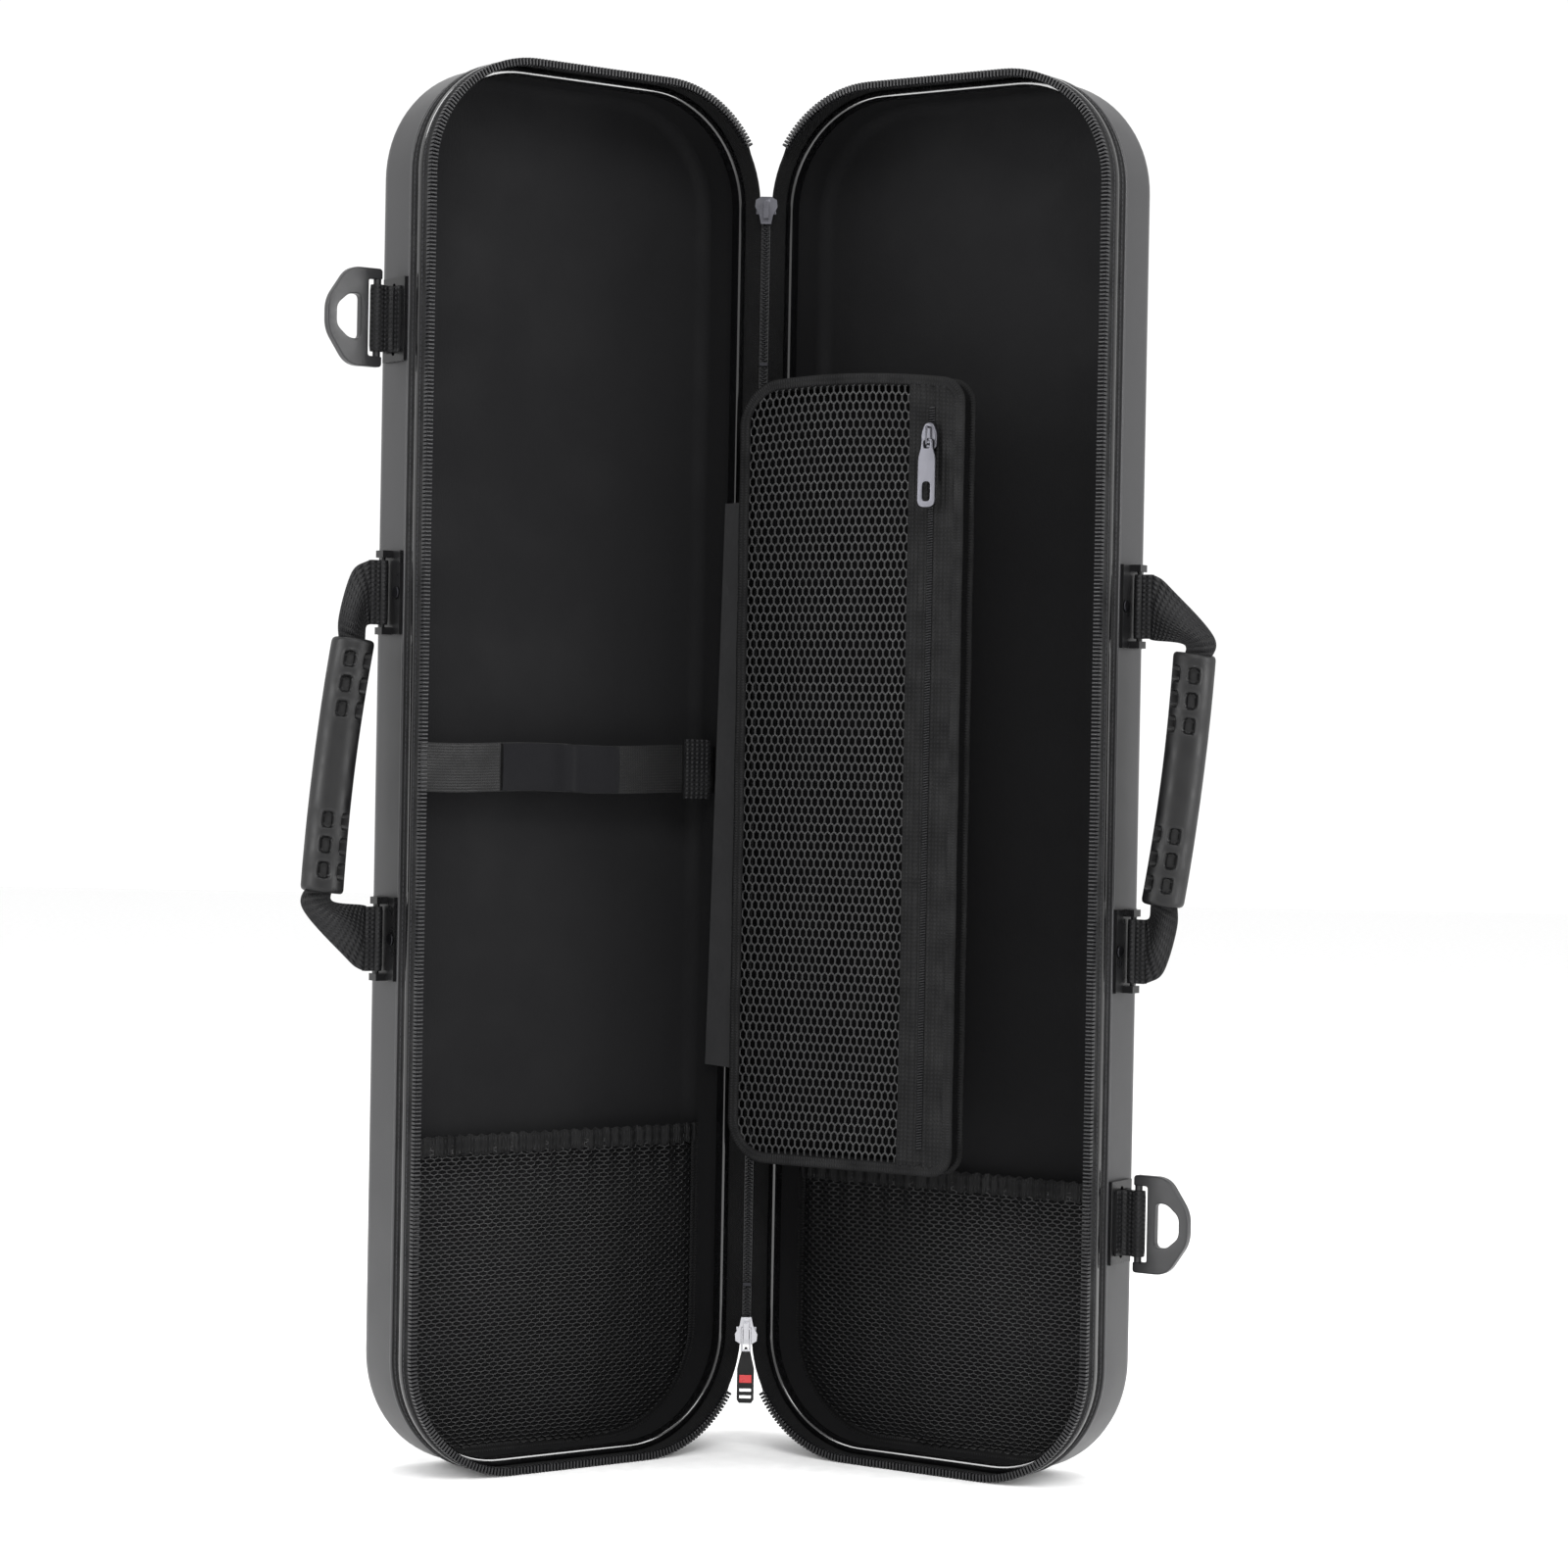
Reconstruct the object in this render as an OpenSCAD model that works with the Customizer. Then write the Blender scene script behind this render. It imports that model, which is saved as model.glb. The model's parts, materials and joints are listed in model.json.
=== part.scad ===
// Slim oblong violin case: two moulded half shells hinged on a stretch of closed zip.
// It stands upright on one end, opened like a book, with its interior facing -Y.
// Each half is drawn as a tray lying on its back: X runs out from the hinge, Y along
// the case and Z up out of the tray, with Z = 0 in the plane where the halves meet.

/* [Case] */
// Length of the case
case_l = 798; // [700:2:960]
// Width of one half, from the hinge axis to its outer wall
half_w = 225; // [205:1:290]
// Depth of one half, from the meeting plane to its back
half_d = 62; // [58:1:85]
// Corner radius of the outline
corner_r = 68; // [60:1:90]
// Thickness of the moulded shell
wall_t = 2.6; // [2:0.1:4]
// Radius of the edge between the wall and the back
back_r = 12; // [8:1:16]
// Thickness of the fabric lining
lining_t = 1.2; // [0.8:0.1:2]

/* [Opening] */
// Angle of the left half from fully flat
open_left = 35; // [25:1:45]
// Angle of the right half from fully flat
open_right = 33; // [25:1:45]

/* [Rim] */
// Distance from the meeting plane down to the lip of the shell
lip_drop = 22; // [18:1:26]
// How far the lip stands out from the wall
lip_out = 1; // [0.6:0.1:1.5]
// Thickness of the woven zip tape
tape_t = 1.2; // [0.8:0.1:1.6]
// Width of the row of zip teeth
tooth_w = 4.4; // [3:0.1:5]
// How far the teeth stand out from the wall
tooth_out = 0.8; // [0.4:0.1:0.9]
// Height of the row of zip teeth
tooth_h = 4; // [3:0.1:5]
// Diameter of the meshed chain at the spine
chain_d = 4.4; // [3.6:0.1:4.8]

/* [Handles and rings] */
// Distance between the two anchors of a handle
anchor_pitch = 194; // [170:1:240]
// Length of the grip
grip_l = 142; // [110:1:145]
// Outer diameter of the grip
grip_d = 24; // [20:1:28]
// Lean of the grips in their own plane, the left one with its top towards the case
grip_lean = 7; // [0:0.5:8]
// Width of the webbing
webbing_w = 38; // [30:1:40]
// Distance of each D-ring from the middle of the case
ring_offset = 250; // [200:5:280]
// Length of a D-ring along its straight bar
ring_l = 55; // [48:1:60]
// Reach of a D-ring from its bar
ring_reach = 32; // [26:1:36]

/* [Inside] */
// Height of the mesh pocket of the left half
left_pocket_h = 188; // [140:1:240]
// Height of the mesh pocket of the right half
right_pocket_h = 168; // [140:1:240]
// Room behind the net of a mesh pocket
pocket_gap = 11; // [8:1:16]
// Width of the hold-down strap
strap_w = 28; // [20:1:36]
// Depth of the hold-down strap below the meeting plane
strap_drop = 35; // [30:1:40]
// Width of the hinged pouch
pouch_w = 146; // [120:1:160]
// Height of the hinged pouch
pouch_h = 456; // [380:1:500]
// Thickness of the hinged pouch
pouch_t = 15; // [10:1:18]

/* [Hidden] */
$fn = 48;

fit = 0.3;               // running clearance between pieces that move
seat = 0.1;              // clearance between pieces that only lie together
axis_gap = 0.2;          // from the hinge axis to the outer face of the spine wall
meet_gap = 0.2;          // half of the gap between the two rows of teeth when closed
mid_z = case_l / 2;
spine_clear = corner_r - 35;  // height at which the rim has turned clear of the spine
chain_end = corner_r + 6;  // height of the chain's lower end
chain_room = 2.7;        // from the hinge axis to the tape's edge along the chain
pull_room = 5.4;         // from the hinge axis to the tape's edge beside the puller
floor_in = wall_t + seat + lining_t;
binding_in = floor_in + 2.6;
floor_z = -half_d + floor_in;
pocket_in = back_r + 0.5;  // from the wall to the edge of a mesh pocket
hem_h = 12;              // height of a pocket's elastic hem
anchor_z = -(lip_drop + half_d - back_r) / 2 - 1;
plate_w = 24;
plate_l = webbing_w + 9;
plate_t = 2.4;
bar_d = 3.2;
bar_out = plate_t + 4.2;
web_t = 2;
ring_t = 5;
ring_bar_d = 4.4;
ring_out = 13;
handle_out = 34;
left_ring_y = mid_z + ring_offset;
right_ring_y = mid_z - ring_offset;
pouch_base = 172;
page_u = 10.4;           // the pouch's hinge line, out from the spine in the left half
page_v = -3;             // the same line, measured back from the meeting plane
page_off = 3;            // angle by which the pouch stands off the right half
page_r = 25;
slider_z = chain_end - 4;  // height of the middle of the lower slider
slide_run = 80;          // travel of the upper slider along the chain
page_skin = 1.4;
page_edge = 4;           // width of the pouch's binding
slide_x = pouch_w - 18;
pull_top = pouch_h - 41; // height of the pull tab's pivot
coil_y = -pouch_t - 2;
shift_x = -2;
shift_y = (sin(open_left) * (half_w + handle_out + 8) - cos(open_right) * half_d) / 2 - 6.7;

// ---------- placing ----------

// Stands a tray up at the left of the hinge
module at_left() {
    at_spine() rotate([0, 0, open_left]) mirror([1, 0, 0]) rotate([90, 0, 0]) children();
}

// Stands a tray up at the right of the hinge
module at_right() {
    at_spine() rotate([0, 0, -open_right]) rotate([90, 0, 0]) children();
}

// Moves to the hinge axis, upright
module at_spine() {
    translate([shift_x, shift_y, lip_out]) children();
}

// Moves to the pouch: X along its width, Y towards the back, Z up from its lower edge
module at_page() {
    hinge_x = -(page_u * cos(open_left) + page_v * sin(open_left));
    hinge_y = -page_u * sin(open_left) + page_v * cos(open_left);
    at_spine() translate([hinge_x, hinge_y, pouch_base]) rotate([0, 0, page_off - open_right]) children();
}

// ---------- shared shapes ----------

// Carries a wall section round the outline. Section X is outward from the wall, Y is height.
module rim() {
    run_w = half_w - axis_gap - 2 * corner_r;
    run_l = case_l - 2 * corner_r;
    lo_x = axis_gap + corner_r;
    hi_x = half_w - corner_r;
    hi_y = case_l - corner_r;
    places = [[hi_x, hi_y, run_l], [lo_x, hi_y, run_w], [lo_x, corner_r, run_l], [hi_x, corner_r, run_w]];
    for (i = [0:3]) {
        translate([places[i][0], places[i][1], 0]) rotate([0, 0, 90 * i]) {
            rotate_extrude(angle = 90, $fn = 96) translate([corner_r, 0]) children();
            translate([corner_r, 0, 0]) rotate([90, 0, 0]) linear_extrude(places[i][2]) children();
        }
    }
}

// Flat rounded panel inside the outline, set in from the wall by inset
module panel(inset, z, t) {
    translate([axis_gap + inset, inset, z])
        rounded_slab(half_w - axis_gap - 2 * inset, case_l - 2 * inset, t, corner_r - inset);
}

// Slab with rounded corners and flat faces
module rounded_slab(w, l, t, r) {
    translate([r, 0, 0]) cube([w - 2 * r, l, t]);
    translate([0, r, 0]) cube([w, l - 2 * r, t]);
    for (x = [r, w - r], y = [r, l - r]) translate([x, y, 0]) cylinder(r = r, h = t, $fn = 96);
}

// Points of a quarter turn from angle a to angle b about a centre
function arc_points(cx, cy, r, a, b, n) = [
    for (i = [0:n]) [cx + r * cos(a + (b - a) * i / n), cy + r * sin(a + (b - a) * i / n)]
];

// Wall section with a rounded foot, from outer offset a to inner offset b, up to height top
module wall_section(a, b, top, run) {
    bottom = -half_d + a;
    polygon(concat(
        [[-a, top]],
        [[-b, top]],
        arc_points(-back_r, -half_d + back_r, back_r - b, 0, -90, 6),
        [[-back_r - run, bottom + b - a], [-back_r - run, bottom]],
        arc_points(-back_r, -half_d + back_r, back_r - a, -90, 0, 6)
    ));
}

// Block that clears the spine side of the rim, from height lo to hi above the tray floor
module spine_block(lo, hi, z0, z1, w) {
    translate([-10, lo, z0]) cube([10 + w, hi - lo, z1 - z0]);
}

// ---------- one half ----------

module shell() {
    run = 8;
    rim() {
        wall_section(0, wall_t, -lip_drop, run);
        translate([-wall_t, -lip_drop - 2.6]) square([wall_t + lip_out, 2.6]);
    }
    panel(back_r + run - 2, -half_d, wall_t);
}

module lining() {
    run = 8;
    rim() wall_section(wall_t + seat, floor_in, -lip_drop - 5, run);
    panel(back_r + run - 2, -half_d + wall_t + seat, lining_t);
}

module zip_tape() {
    difference() {
        rim() translate([-tape_t, -lip_drop]) square([tape_t, lip_drop - tooth_h - meet_gap]);
        spine_block(spine_clear, case_l - spine_clear, -pull_room, 1, 14);
    }
    chain_l = case_l - 2 * chain_end;
    translate([axis_gap, chain_end + 6, -pull_room]) cube([tape_t, chain_l - 12, pull_room - chain_room]);
}

module zip_teeth() {
    difference() {
        rim() translate([tooth_out - tooth_w, -tooth_h - meet_gap]) square([tooth_w, tooth_h]);
        spine_block(spine_clear, case_l - spine_clear, -tooth_h - 2, 1, 14);
    }
}

module rim_piping() {
    difference() {
        rim() translate([0, -lip_drop + 7]) polygon([[0, 0], [0.7, 0.6], [0.9, 1.6], [0.7, 2.6], [0, 3.2]]);
        spine_block(spine_clear, case_l - spine_clear, -lip_drop, 1, 14);
    }
}

module inner_binding() {
    rim() polygon([
        [-tape_t, -lip_drop], [-tape_t, -lip_drop + 3], [-2.4, -lip_drop + 4],
        [-binding_in + 1, -lip_drop + 4], [-binding_in, -lip_drop + 2.6],
        [-binding_in, -lip_drop - 3.4], [-binding_in + 1, -lip_drop - 4.6],
        [-wall_t, -lip_drop - 4.6], [-wall_t, -lip_drop]
    ]);
}

module mesh_pocket(h) {
    inset = pocket_in;
    net_t = 1.2;
    floor_gap = seat;
    difference() {
        panel(inset, floor_z + floor_gap, pocket_gap + net_t);
        panel(inset + net_t, floor_z - 1, pocket_gap + 1);
        translate([0, h - hem_h, floor_z - 1]) cube([half_w, case_l, pocket_gap + 4]);
    }
}

module pocket_hem(h) {
    inset = pocket_in;
    translate([axis_gap + inset, h - hem_h, floor_z + pocket_gap - 0.8])
        cube([half_w - axis_gap - 2 * inset, hem_h, 2.8]);
    for (x = [axis_gap + inset, half_w - inset - 1.2])
        translate([x, h - hem_h, floor_z + seat]) cube([1.2, hem_h, pocket_gap - 0.8]);
}

module strap() {
    inset = floor_in + seat;
    lo_x = axis_gap + inset;
    hi_x = half_w - inset;
    for (x = [lo_x, hi_x - 1.2]) translate([x, mid_z - strap_w / 2, -strap_drop - 12]) cube([1.2, strap_w, 12]);
    translate([lo_x, mid_z - strap_w / 2, -strap_drop]) cube([hi_x - lo_x, strap_w, web_t]);
}

module strap_patch() {
    translate([half_w * 0.33, mid_z - strap_w / 2, -strap_drop + web_t]) cube([half_w * 0.36, strap_w, 1.6]);
    translate([binding_in + 3.5, mid_z - strap_w / 2 - 4, -strap_drop + web_t]) cube([20, strap_w + 8, 2.4]);
}

module handle_anchors() {
    for (y = [mid_z - anchor_pitch / 2, mid_z + anchor_pitch / 2]) translate([half_w, y, anchor_z]) {
        difference() {
            translate([0, -plate_l / 2, -plate_w / 2]) cube([plate_t, plate_l, plate_w]);
            for (side = [-1, 1]) translate([-1, 0, side * 9]) rotate([0, 90, 0]) cylinder(d = 4, h = 6);
        }
        for (side = [-1, 1]) translate([plate_t, side * (plate_l / 2 - 2) - 2, -4]) cube([bar_out - plate_t + 2.2, 4, 8]);
        translate([bar_out, plate_l / 2 - 3, 0]) rotate([90, 0, 0]) cylinder(d = bar_d, h = plate_l - 6);
    }
}

module anchor_rivets() {
    for (y = [mid_z - anchor_pitch / 2, mid_z + anchor_pitch / 2], side = [-1, 1])
        translate([half_w + seat, y, anchor_z + side * 9]) rotate([0, 90, 0]) {
            cylinder(d = 3.9, h = plate_t);
            translate([0, 0, plate_t]) cylinder(d = 7, h = 1.2);
        }
}

// Turns and moves a grip's parts: X across the grip and Y along it, from its middle
module at_grip(lean) {
    translate([half_w + handle_out, mid_z, 0]) rotate([0, 0, lean]) children();
}

// A point of the grip's own plane, as at_grip places it
function grip_point(lean, x, y) = [
    half_w + handle_out + x * cos(lean) - y * sin(lean),
    mid_z + x * sin(lean) + y * cos(lean)
];

// Webbing of a handle: two flat tails that loop round the anchor bars and a core in the grip
module handle_webbing(lean) {
    bar_x = half_w + bar_out;
    loop_r = bar_d / 2 + fit;
    core = (grip_d - 8) / 2;
    end = grip_l / 2;
    half_web = webbing_w / 2 - 1;
    inner = bar_x + loop_r + 0.4;
    translate([0, 0, anchor_z]) {
        for (side = [-1, 1]) difference() {
            y = mid_z + side * anchor_pitch / 2;
            translate([bar_x, y + half_web, 0]) rotate([90, 0, 0]) cylinder(r = loop_r + web_t * 0.7, h = 2 * half_web);
            translate([bar_x, y + half_web + 1, 0]) rotate([90, 0, 0]) cylinder(r = loop_r, h = 2 * half_web + 2);
        }
        translate([0, 0, -web_t / 2]) linear_extrude(web_t) for (side = [-1, 1]) {
            y = mid_z + side * anchor_pitch / 2;
            polygon([
                [inner, y + side * half_web], [bar_x + 14, y + side * (half_web - 3)],
                grip_point(lean, core + 1, side * (end + 12)), grip_point(lean, core, side * (end - 6)),
                grip_point(lean, -core, side * (end - 6)), grip_point(lean, -core, side * (end + 2)),
                [bar_x + 8, y - side * half_web], [inner, y - side * half_web]
            ]);
        }
        at_grip(lean) translate([-core, -end, -web_t / 2]) cube([2 * core, grip_l, web_t]);
    }
}

module handle_grip(lean) {
    hole_rows = 6;
    bore_r = grip_d / 2 - 3;
    translate([0, 0, anchor_z]) at_grip(lean) translate([0, -grip_l / 2, 0]) rotate([-90, 0, 0]) difference() {
        rotate_extrude() polygon([
            [bore_r, 0], [grip_d / 2 - 1.2, 0], [grip_d / 2, 1.6], [grip_d / 2, grip_l - 1.6],
            [grip_d / 2 - 1.2, grip_l], [bore_r, grip_l]
        ]);
        for (i = [0:hole_rows - 1], side = [-1, 1]) {
            step = i < 3 ? 12 + 14 * i : grip_l - 12 - 14 * (hole_rows - 1 - i);
            translate([side * 4.4 - 2, -grip_d, step - 4.5]) cube([4, 2 * grip_d, 9]);
        }
    }
}

module ring_anchor(y) {
    translate([half_w, y, anchor_z]) difference() {
        translate([0, -plate_l / 2, -plate_w / 2]) cube([plate_t, plate_l, plate_w]);
        for (side = [-1, 1]) translate([-1, side * (plate_l / 2 - 5), 0]) rotate([0, 90, 0]) cylinder(d = 3.4, h = 6);
    }
}

module ring_webbing(y) {
    half_web = (ring_l - 17) / 2;
    loop_r = ring_bar_d / 2 + fit;
    translate([half_w, y, anchor_z]) {
        translate([plate_t, -half_web, -8]) cube([1.6, 2 * half_web, 16]);
        difference() {
            union() {
                translate([plate_t, -half_web, -1.7]) cube([ring_out - plate_t - loop_r - 0.5, 2 * half_web, 3.4]);
                translate([ring_out, half_web, 0]) rotate([90, 0, 0]) cylinder(r = loop_r + 1.6, h = 2 * half_web);
            }
            translate([ring_out, half_web + 1, 0]) rotate([90, 0, 0]) cylinder(r = loop_r, h = 2 * half_web + 2);
        }
    }
}

module d_ring(y) {
    slot = 4.2;
    lug = 3;
    eye_w = 14;
    eye_l = 22;
    translate([half_w + ring_out, y, anchor_z]) {
        translate([0, ring_l / 2 - lug, 0]) rotate([90, 0, 0]) cylinder(d = ring_bar_d, h = ring_l - 2 * lug);
        translate([0, 0, -ring_t / 2]) linear_extrude(ring_t) difference() {
            polygon([
                [-ring_bar_d / 2, -ring_l / 2], [ring_reach - 13, -ring_l / 2], [ring_reach, -ring_l / 2 + 19],
                [ring_reach, ring_l / 2 - 19], [ring_reach - 13, ring_l / 2], [-ring_bar_d / 2, ring_l / 2]
            ]);
            translate([-ring_bar_d, -ring_l / 2 + 6]) square([ring_bar_d * 1.5 + slot, ring_l - 12]);
            translate([ring_reach - 6.5 - eye_w, -eye_l / 2]) square([eye_w, eye_l]);
        }
    }
}

module batten() {
    top_w = 25;
    foot_w = 36;
    front = -page_v - 1.5;
    lo = pouch_base + page_r + 27;
    hi = pouch_base + pouch_h - page_r - 46;
    translate([binding_in + axis_gap + fit, 0, 0]) rotate([0, 90, 0]) mirror([1, 0, 0]) linear_extrude(1.5)
        polygon([[-top_w, hi], [front, hi], [front, lo], [-foot_w, lo]]);
}

// ---------- spine ----------

module spine_chain() {
    translate([0, 0, chain_end]) cylinder(d = chain_d, h = case_l - 2 * chain_end);
}

// Staples on the chain's face that end the travel of the two sliders
module spine_stops() {
    for (z = [chain_end + 22, case_l - slider_z - 8 - slide_run - 3])
        translate([0, 0, z]) difference() {
            translate([-2.5, -3.2, 0]) cube([5, 2.8, 2]);
            translate([0, 0, -1]) cylinder(d = chain_d, h = 4);
        }
}

// Front plate of a zip slider with its two guide flanges and the bridge of its pull
module slider_body(flip) {
    mirror([0, 0, flip]) {
        rotate([90, 0, 0]) translate([0, 0, 2.5]) linear_extrude(2.6) union() {
            polygon([[-3, -8], [3, -8], [4, -3], [6.6, 2], [6.2, 6], [3, 8], [-3, 8], [-6.2, 6], [-6.6, 2], [-4, -3]]);
        }
        for (side = [-1, 1]) translate([side * 4.6 - 1.2, -2.6, -2]) cube([2.4, 0.8, 8]);
        difference() {
            translate([-1.6, -8, -5]) cube([3.2, 3, 10]);
            translate([-3, -7.2, -3.6]) cube([6, 2.2, 7.2]);
        }
    }
}

module top_slider() {
    translate([0, 0, case_l - slider_z]) slider_body(0);
}

module bottom_slider() {
    translate([0, 0, slider_z]) slider_body(1);
}

module puller_link() {
    rotate([90, 0, 0]) translate([0, 0, 5.6]) linear_extrude(1.2) difference() {
        translate([-3, slider_z - 12]) square([6, 14]);
        translate([-1.8, slider_z - 10.6]) square([3.6, 11.4]);
    }
}

module puller() {
    top = slider_z - 11;
    puller_y = 0.3;
    rotate([90, 0, 0]) {
        translate([0, 0, puller_y]) linear_extrude(2.2) difference() {
            polygon([[-2.4, top - 1], [2.4, top - 1], [3.4, top - 5], [5, top - 12], [5, top - 30], [3.6, top - 32],
                [-3.6, top - 32], [-5, top - 30], [-5, top - 12], [-3.4, top - 5]]);
            for (z = [top - 25.5, top - 29.5]) translate([-3.4, z]) square([6.8, 2]);
        }
        translate([0, 0, puller_y]) linear_extrude(5.1) translate([-0.9, top - 3]) square([1.8, 1.9]);
        translate([-0.9, top - 3, puller_y + 4]) cube([1.8, 4.4, 1.1]);
    }
}

module puller_inlay() {
    top = slider_z - 11;
    rotate([90, 0, 0]) translate([-3.6, top - 20, 2.5]) cube([7.2, 4.6, 0.5]);
}

// ---------- pouch ----------

module page_outline(inset) {
    translate([inset, inset]) {
        w = pouch_w - 2 * inset;
        h = pouch_h - 2 * inset;
        r = page_r - inset;
        translate([r, 0]) square([w - 2 * r, h]);
        translate([0, r]) square([w, h - 2 * r]);
        for (x = [r, w - r], y = [r, h - r]) translate([x, y]) circle(r = r);
    }
}

// Draws an outline of the pouch as a slab whose rear face lies at y = rear
module page_slab(rear, t) {
    translate([1.8, rear, 0]) rotate([90, 0, 0]) linear_extrude(t) children();
}

module pouch_back() {
    page_slab(0, page_skin) page_outline(page_edge);
}

module pouch_net() {
    page_slab(page_skin - pouch_t, page_skin) page_outline(page_edge);
}

module pouch_gusset() {
    page_slab(-page_skin, pouch_t - 2 * page_skin) difference() {
        page_outline(page_edge);
        page_outline(page_edge + page_skin);
    }
}

module pouch_binding() {
    for (rear = [0.4, 2.2 - pouch_t]) page_slab(rear, 2.6) difference() {
        page_outline(0);
        page_outline(page_edge);
    }
}

module pouch_zip_tape() {
    translate([slide_x - 9, -pouch_t - seat - 0.9, page_r + 1]) cube([20, 0.9, pouch_h - 2 * page_r - 2]);
}

module pouch_coil() {
    translate([slide_x, coil_y, page_r + 3]) cylinder(d = 2, h = pouch_h - 2 * page_r - 6, $fn = 16);
}

module pouch_slider() {
    difference() {
        translate([slide_x - 5, coil_y - 3.4, pull_top - 4]) cube([10, 4, 15]);
        translate([slide_x, coil_y, pull_top - 5]) cylinder(d = 2.6, h = 17, $fn = 16);
    }
    difference() {
        translate([slide_x - 1.4, coil_y - 6.4, pull_top - 2]) cube([2.8, 3, 11]);
        translate([slide_x - 2, coil_y - 5.6, pull_top - 0.6]) cube([4, 2.2, 8.2]);
    }
}

module pouch_pull_tab() {
    translate([slide_x, coil_y - 3.8, 0]) rotate([90, 0, 0]) linear_extrude(1.4) difference() {
        union() {
            translate([-3.4, pull_top - 33]) square([6.8, 35]);
            translate([-5.6, pull_top - 37]) square([11.2, 34]);
        }
        translate([-2, pull_top - 3.2]) square([4, 3.6]);
        translate([-3.6, pull_top - 34]) square([7.2, 12]);
    }
}

module pouch_hinge_bead() {
    translate([0, 0, page_r + 27]) cylinder(d = 3, h = pouch_h - 2 * page_r - 54, $fn = 24);
}

// ---------- assembly ----------

color("#3c3c3e") at_left() shell();  // left_shell
color("#232323") at_left() lining();  // left_lining
color("#1a1a1b") at_left() zip_tape();  // left_zip_tape
color("#101011") at_left() zip_teeth();  // left_zip_teeth
color("#2a2a2c") at_left() rim_piping();  // left_rim_piping
color("#0e0e0f") at_left() inner_binding();  // left_inner_binding
color("#151516") at_left() mesh_pocket(left_pocket_h);  // left_mesh_pocket
color("#1c1c1e") at_left() pocket_hem(left_pocket_h);  // left_pocket_hem
color("#202022") at_left() strap();  // left_strap
color("#2c2c2e") at_left() strap_patch();  // left_strap_patch
color("#383838") at_left() batten();  // pouch_batten
color("#18181a") at_left() handle_anchors();  // left_handle_anchors
color("#6a6a70") at_left() anchor_rivets();  // left_anchor_rivets
color("#18181a") at_left() ring_anchor(left_ring_y);  // left_ring_anchor
color("#1d1d1f") at_left() ring_webbing(left_ring_y);  // left_ring_webbing
color("#2a2a2c") at_left() d_ring(left_ring_y);  // left_d_ring
color("#1d1d1f") at_left() handle_webbing(grip_lean);  // left_handle_webbing
color("#161617") at_left() handle_grip(grip_lean);  // left_handle_grip
color("#4a4a4c") at_right() shell();  // right_shell
color("#1c1c1e") at_right() lining();  // right_lining
color("#1a1a1b") at_right() zip_tape();  // right_zip_tape
color("#101011") at_right() zip_teeth();  // right_zip_teeth
color("#2a2a2c") at_right() rim_piping();  // right_rim_piping
color("#0e0e0f") at_right() inner_binding();  // right_inner_binding
color("#151516") at_right() mesh_pocket(right_pocket_h);  // right_mesh_pocket
color("#1c1c1e") at_right() pocket_hem(right_pocket_h);  // right_pocket_hem
color("#18181a") at_right() handle_anchors();  // right_handle_anchors
color("#6a6a70") at_right() anchor_rivets();  // right_anchor_rivets
color("#18181a") at_right() ring_anchor(right_ring_y);  // right_ring_anchor
color("#1d1d1f") at_right() ring_webbing(right_ring_y);  // right_ring_webbing
color("#2a2a2c") at_right() d_ring(right_ring_y);  // right_d_ring
color("#1d1d1f") at_right() handle_webbing(-grip_lean);  // right_handle_webbing
color("#161617") at_right() handle_grip(-grip_lean);  // right_handle_grip
color("#202022") at_spine() spine_chain();
color("#8a8a90") at_spine() spine_stops();
color("#6e6e74") at_spine() top_slider();
color("#b8b8bc") at_spine() bottom_slider();
color("#c4c4c8") at_spine() puller_link();
color("#151516") at_spine() puller();
color("#b01818") at_spine() puller_inlay();
color("#18181a") at_page() pouch_back();
color("#222224") at_page() pouch_net();
color("#18181a") at_page() pouch_gusset();
color("#111112") at_page() pouch_binding();
color("#151516") at_page() pouch_zip_tape();
color("#1c1c1e") at_page() pouch_coil();
color("#77777d") at_page() pouch_slider();
color("#6a6a72") at_page() pouch_pull_tab();
color("#111112") at_page() pouch_hinge_bead();
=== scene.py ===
"""Looks of a slim oblong violin case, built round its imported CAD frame.

Each half of the case is worked out in a tray frame: X runs out from the hinge, Y along the case
and Z up out of the tray, with Z = 0 where the two halves meet. A Placement stands it upright.
"""

import json
import logging
import math
from dataclasses import dataclass
from enum import Enum
from itertools import product

import bmesh
import bpy
import numpy as np
from mathutils import Matrix, Vector

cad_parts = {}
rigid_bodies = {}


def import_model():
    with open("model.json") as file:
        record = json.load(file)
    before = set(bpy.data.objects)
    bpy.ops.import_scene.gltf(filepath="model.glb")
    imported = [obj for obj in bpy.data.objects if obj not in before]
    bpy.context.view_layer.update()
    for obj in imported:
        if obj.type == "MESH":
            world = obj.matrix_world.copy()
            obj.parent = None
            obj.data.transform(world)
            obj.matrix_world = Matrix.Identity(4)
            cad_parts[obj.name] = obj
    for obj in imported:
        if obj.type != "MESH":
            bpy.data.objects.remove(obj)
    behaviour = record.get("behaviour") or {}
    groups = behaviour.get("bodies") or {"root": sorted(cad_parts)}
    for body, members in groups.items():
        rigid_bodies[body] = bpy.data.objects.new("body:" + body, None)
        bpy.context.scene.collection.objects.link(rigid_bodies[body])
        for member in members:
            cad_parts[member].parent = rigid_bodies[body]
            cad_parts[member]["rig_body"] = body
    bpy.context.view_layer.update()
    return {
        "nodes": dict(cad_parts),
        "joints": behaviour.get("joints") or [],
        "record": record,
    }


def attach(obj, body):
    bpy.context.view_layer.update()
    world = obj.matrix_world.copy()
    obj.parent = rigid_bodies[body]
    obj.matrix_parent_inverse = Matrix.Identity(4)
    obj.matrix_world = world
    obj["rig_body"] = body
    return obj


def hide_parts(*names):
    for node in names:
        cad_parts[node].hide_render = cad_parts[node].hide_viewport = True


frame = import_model()

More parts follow.
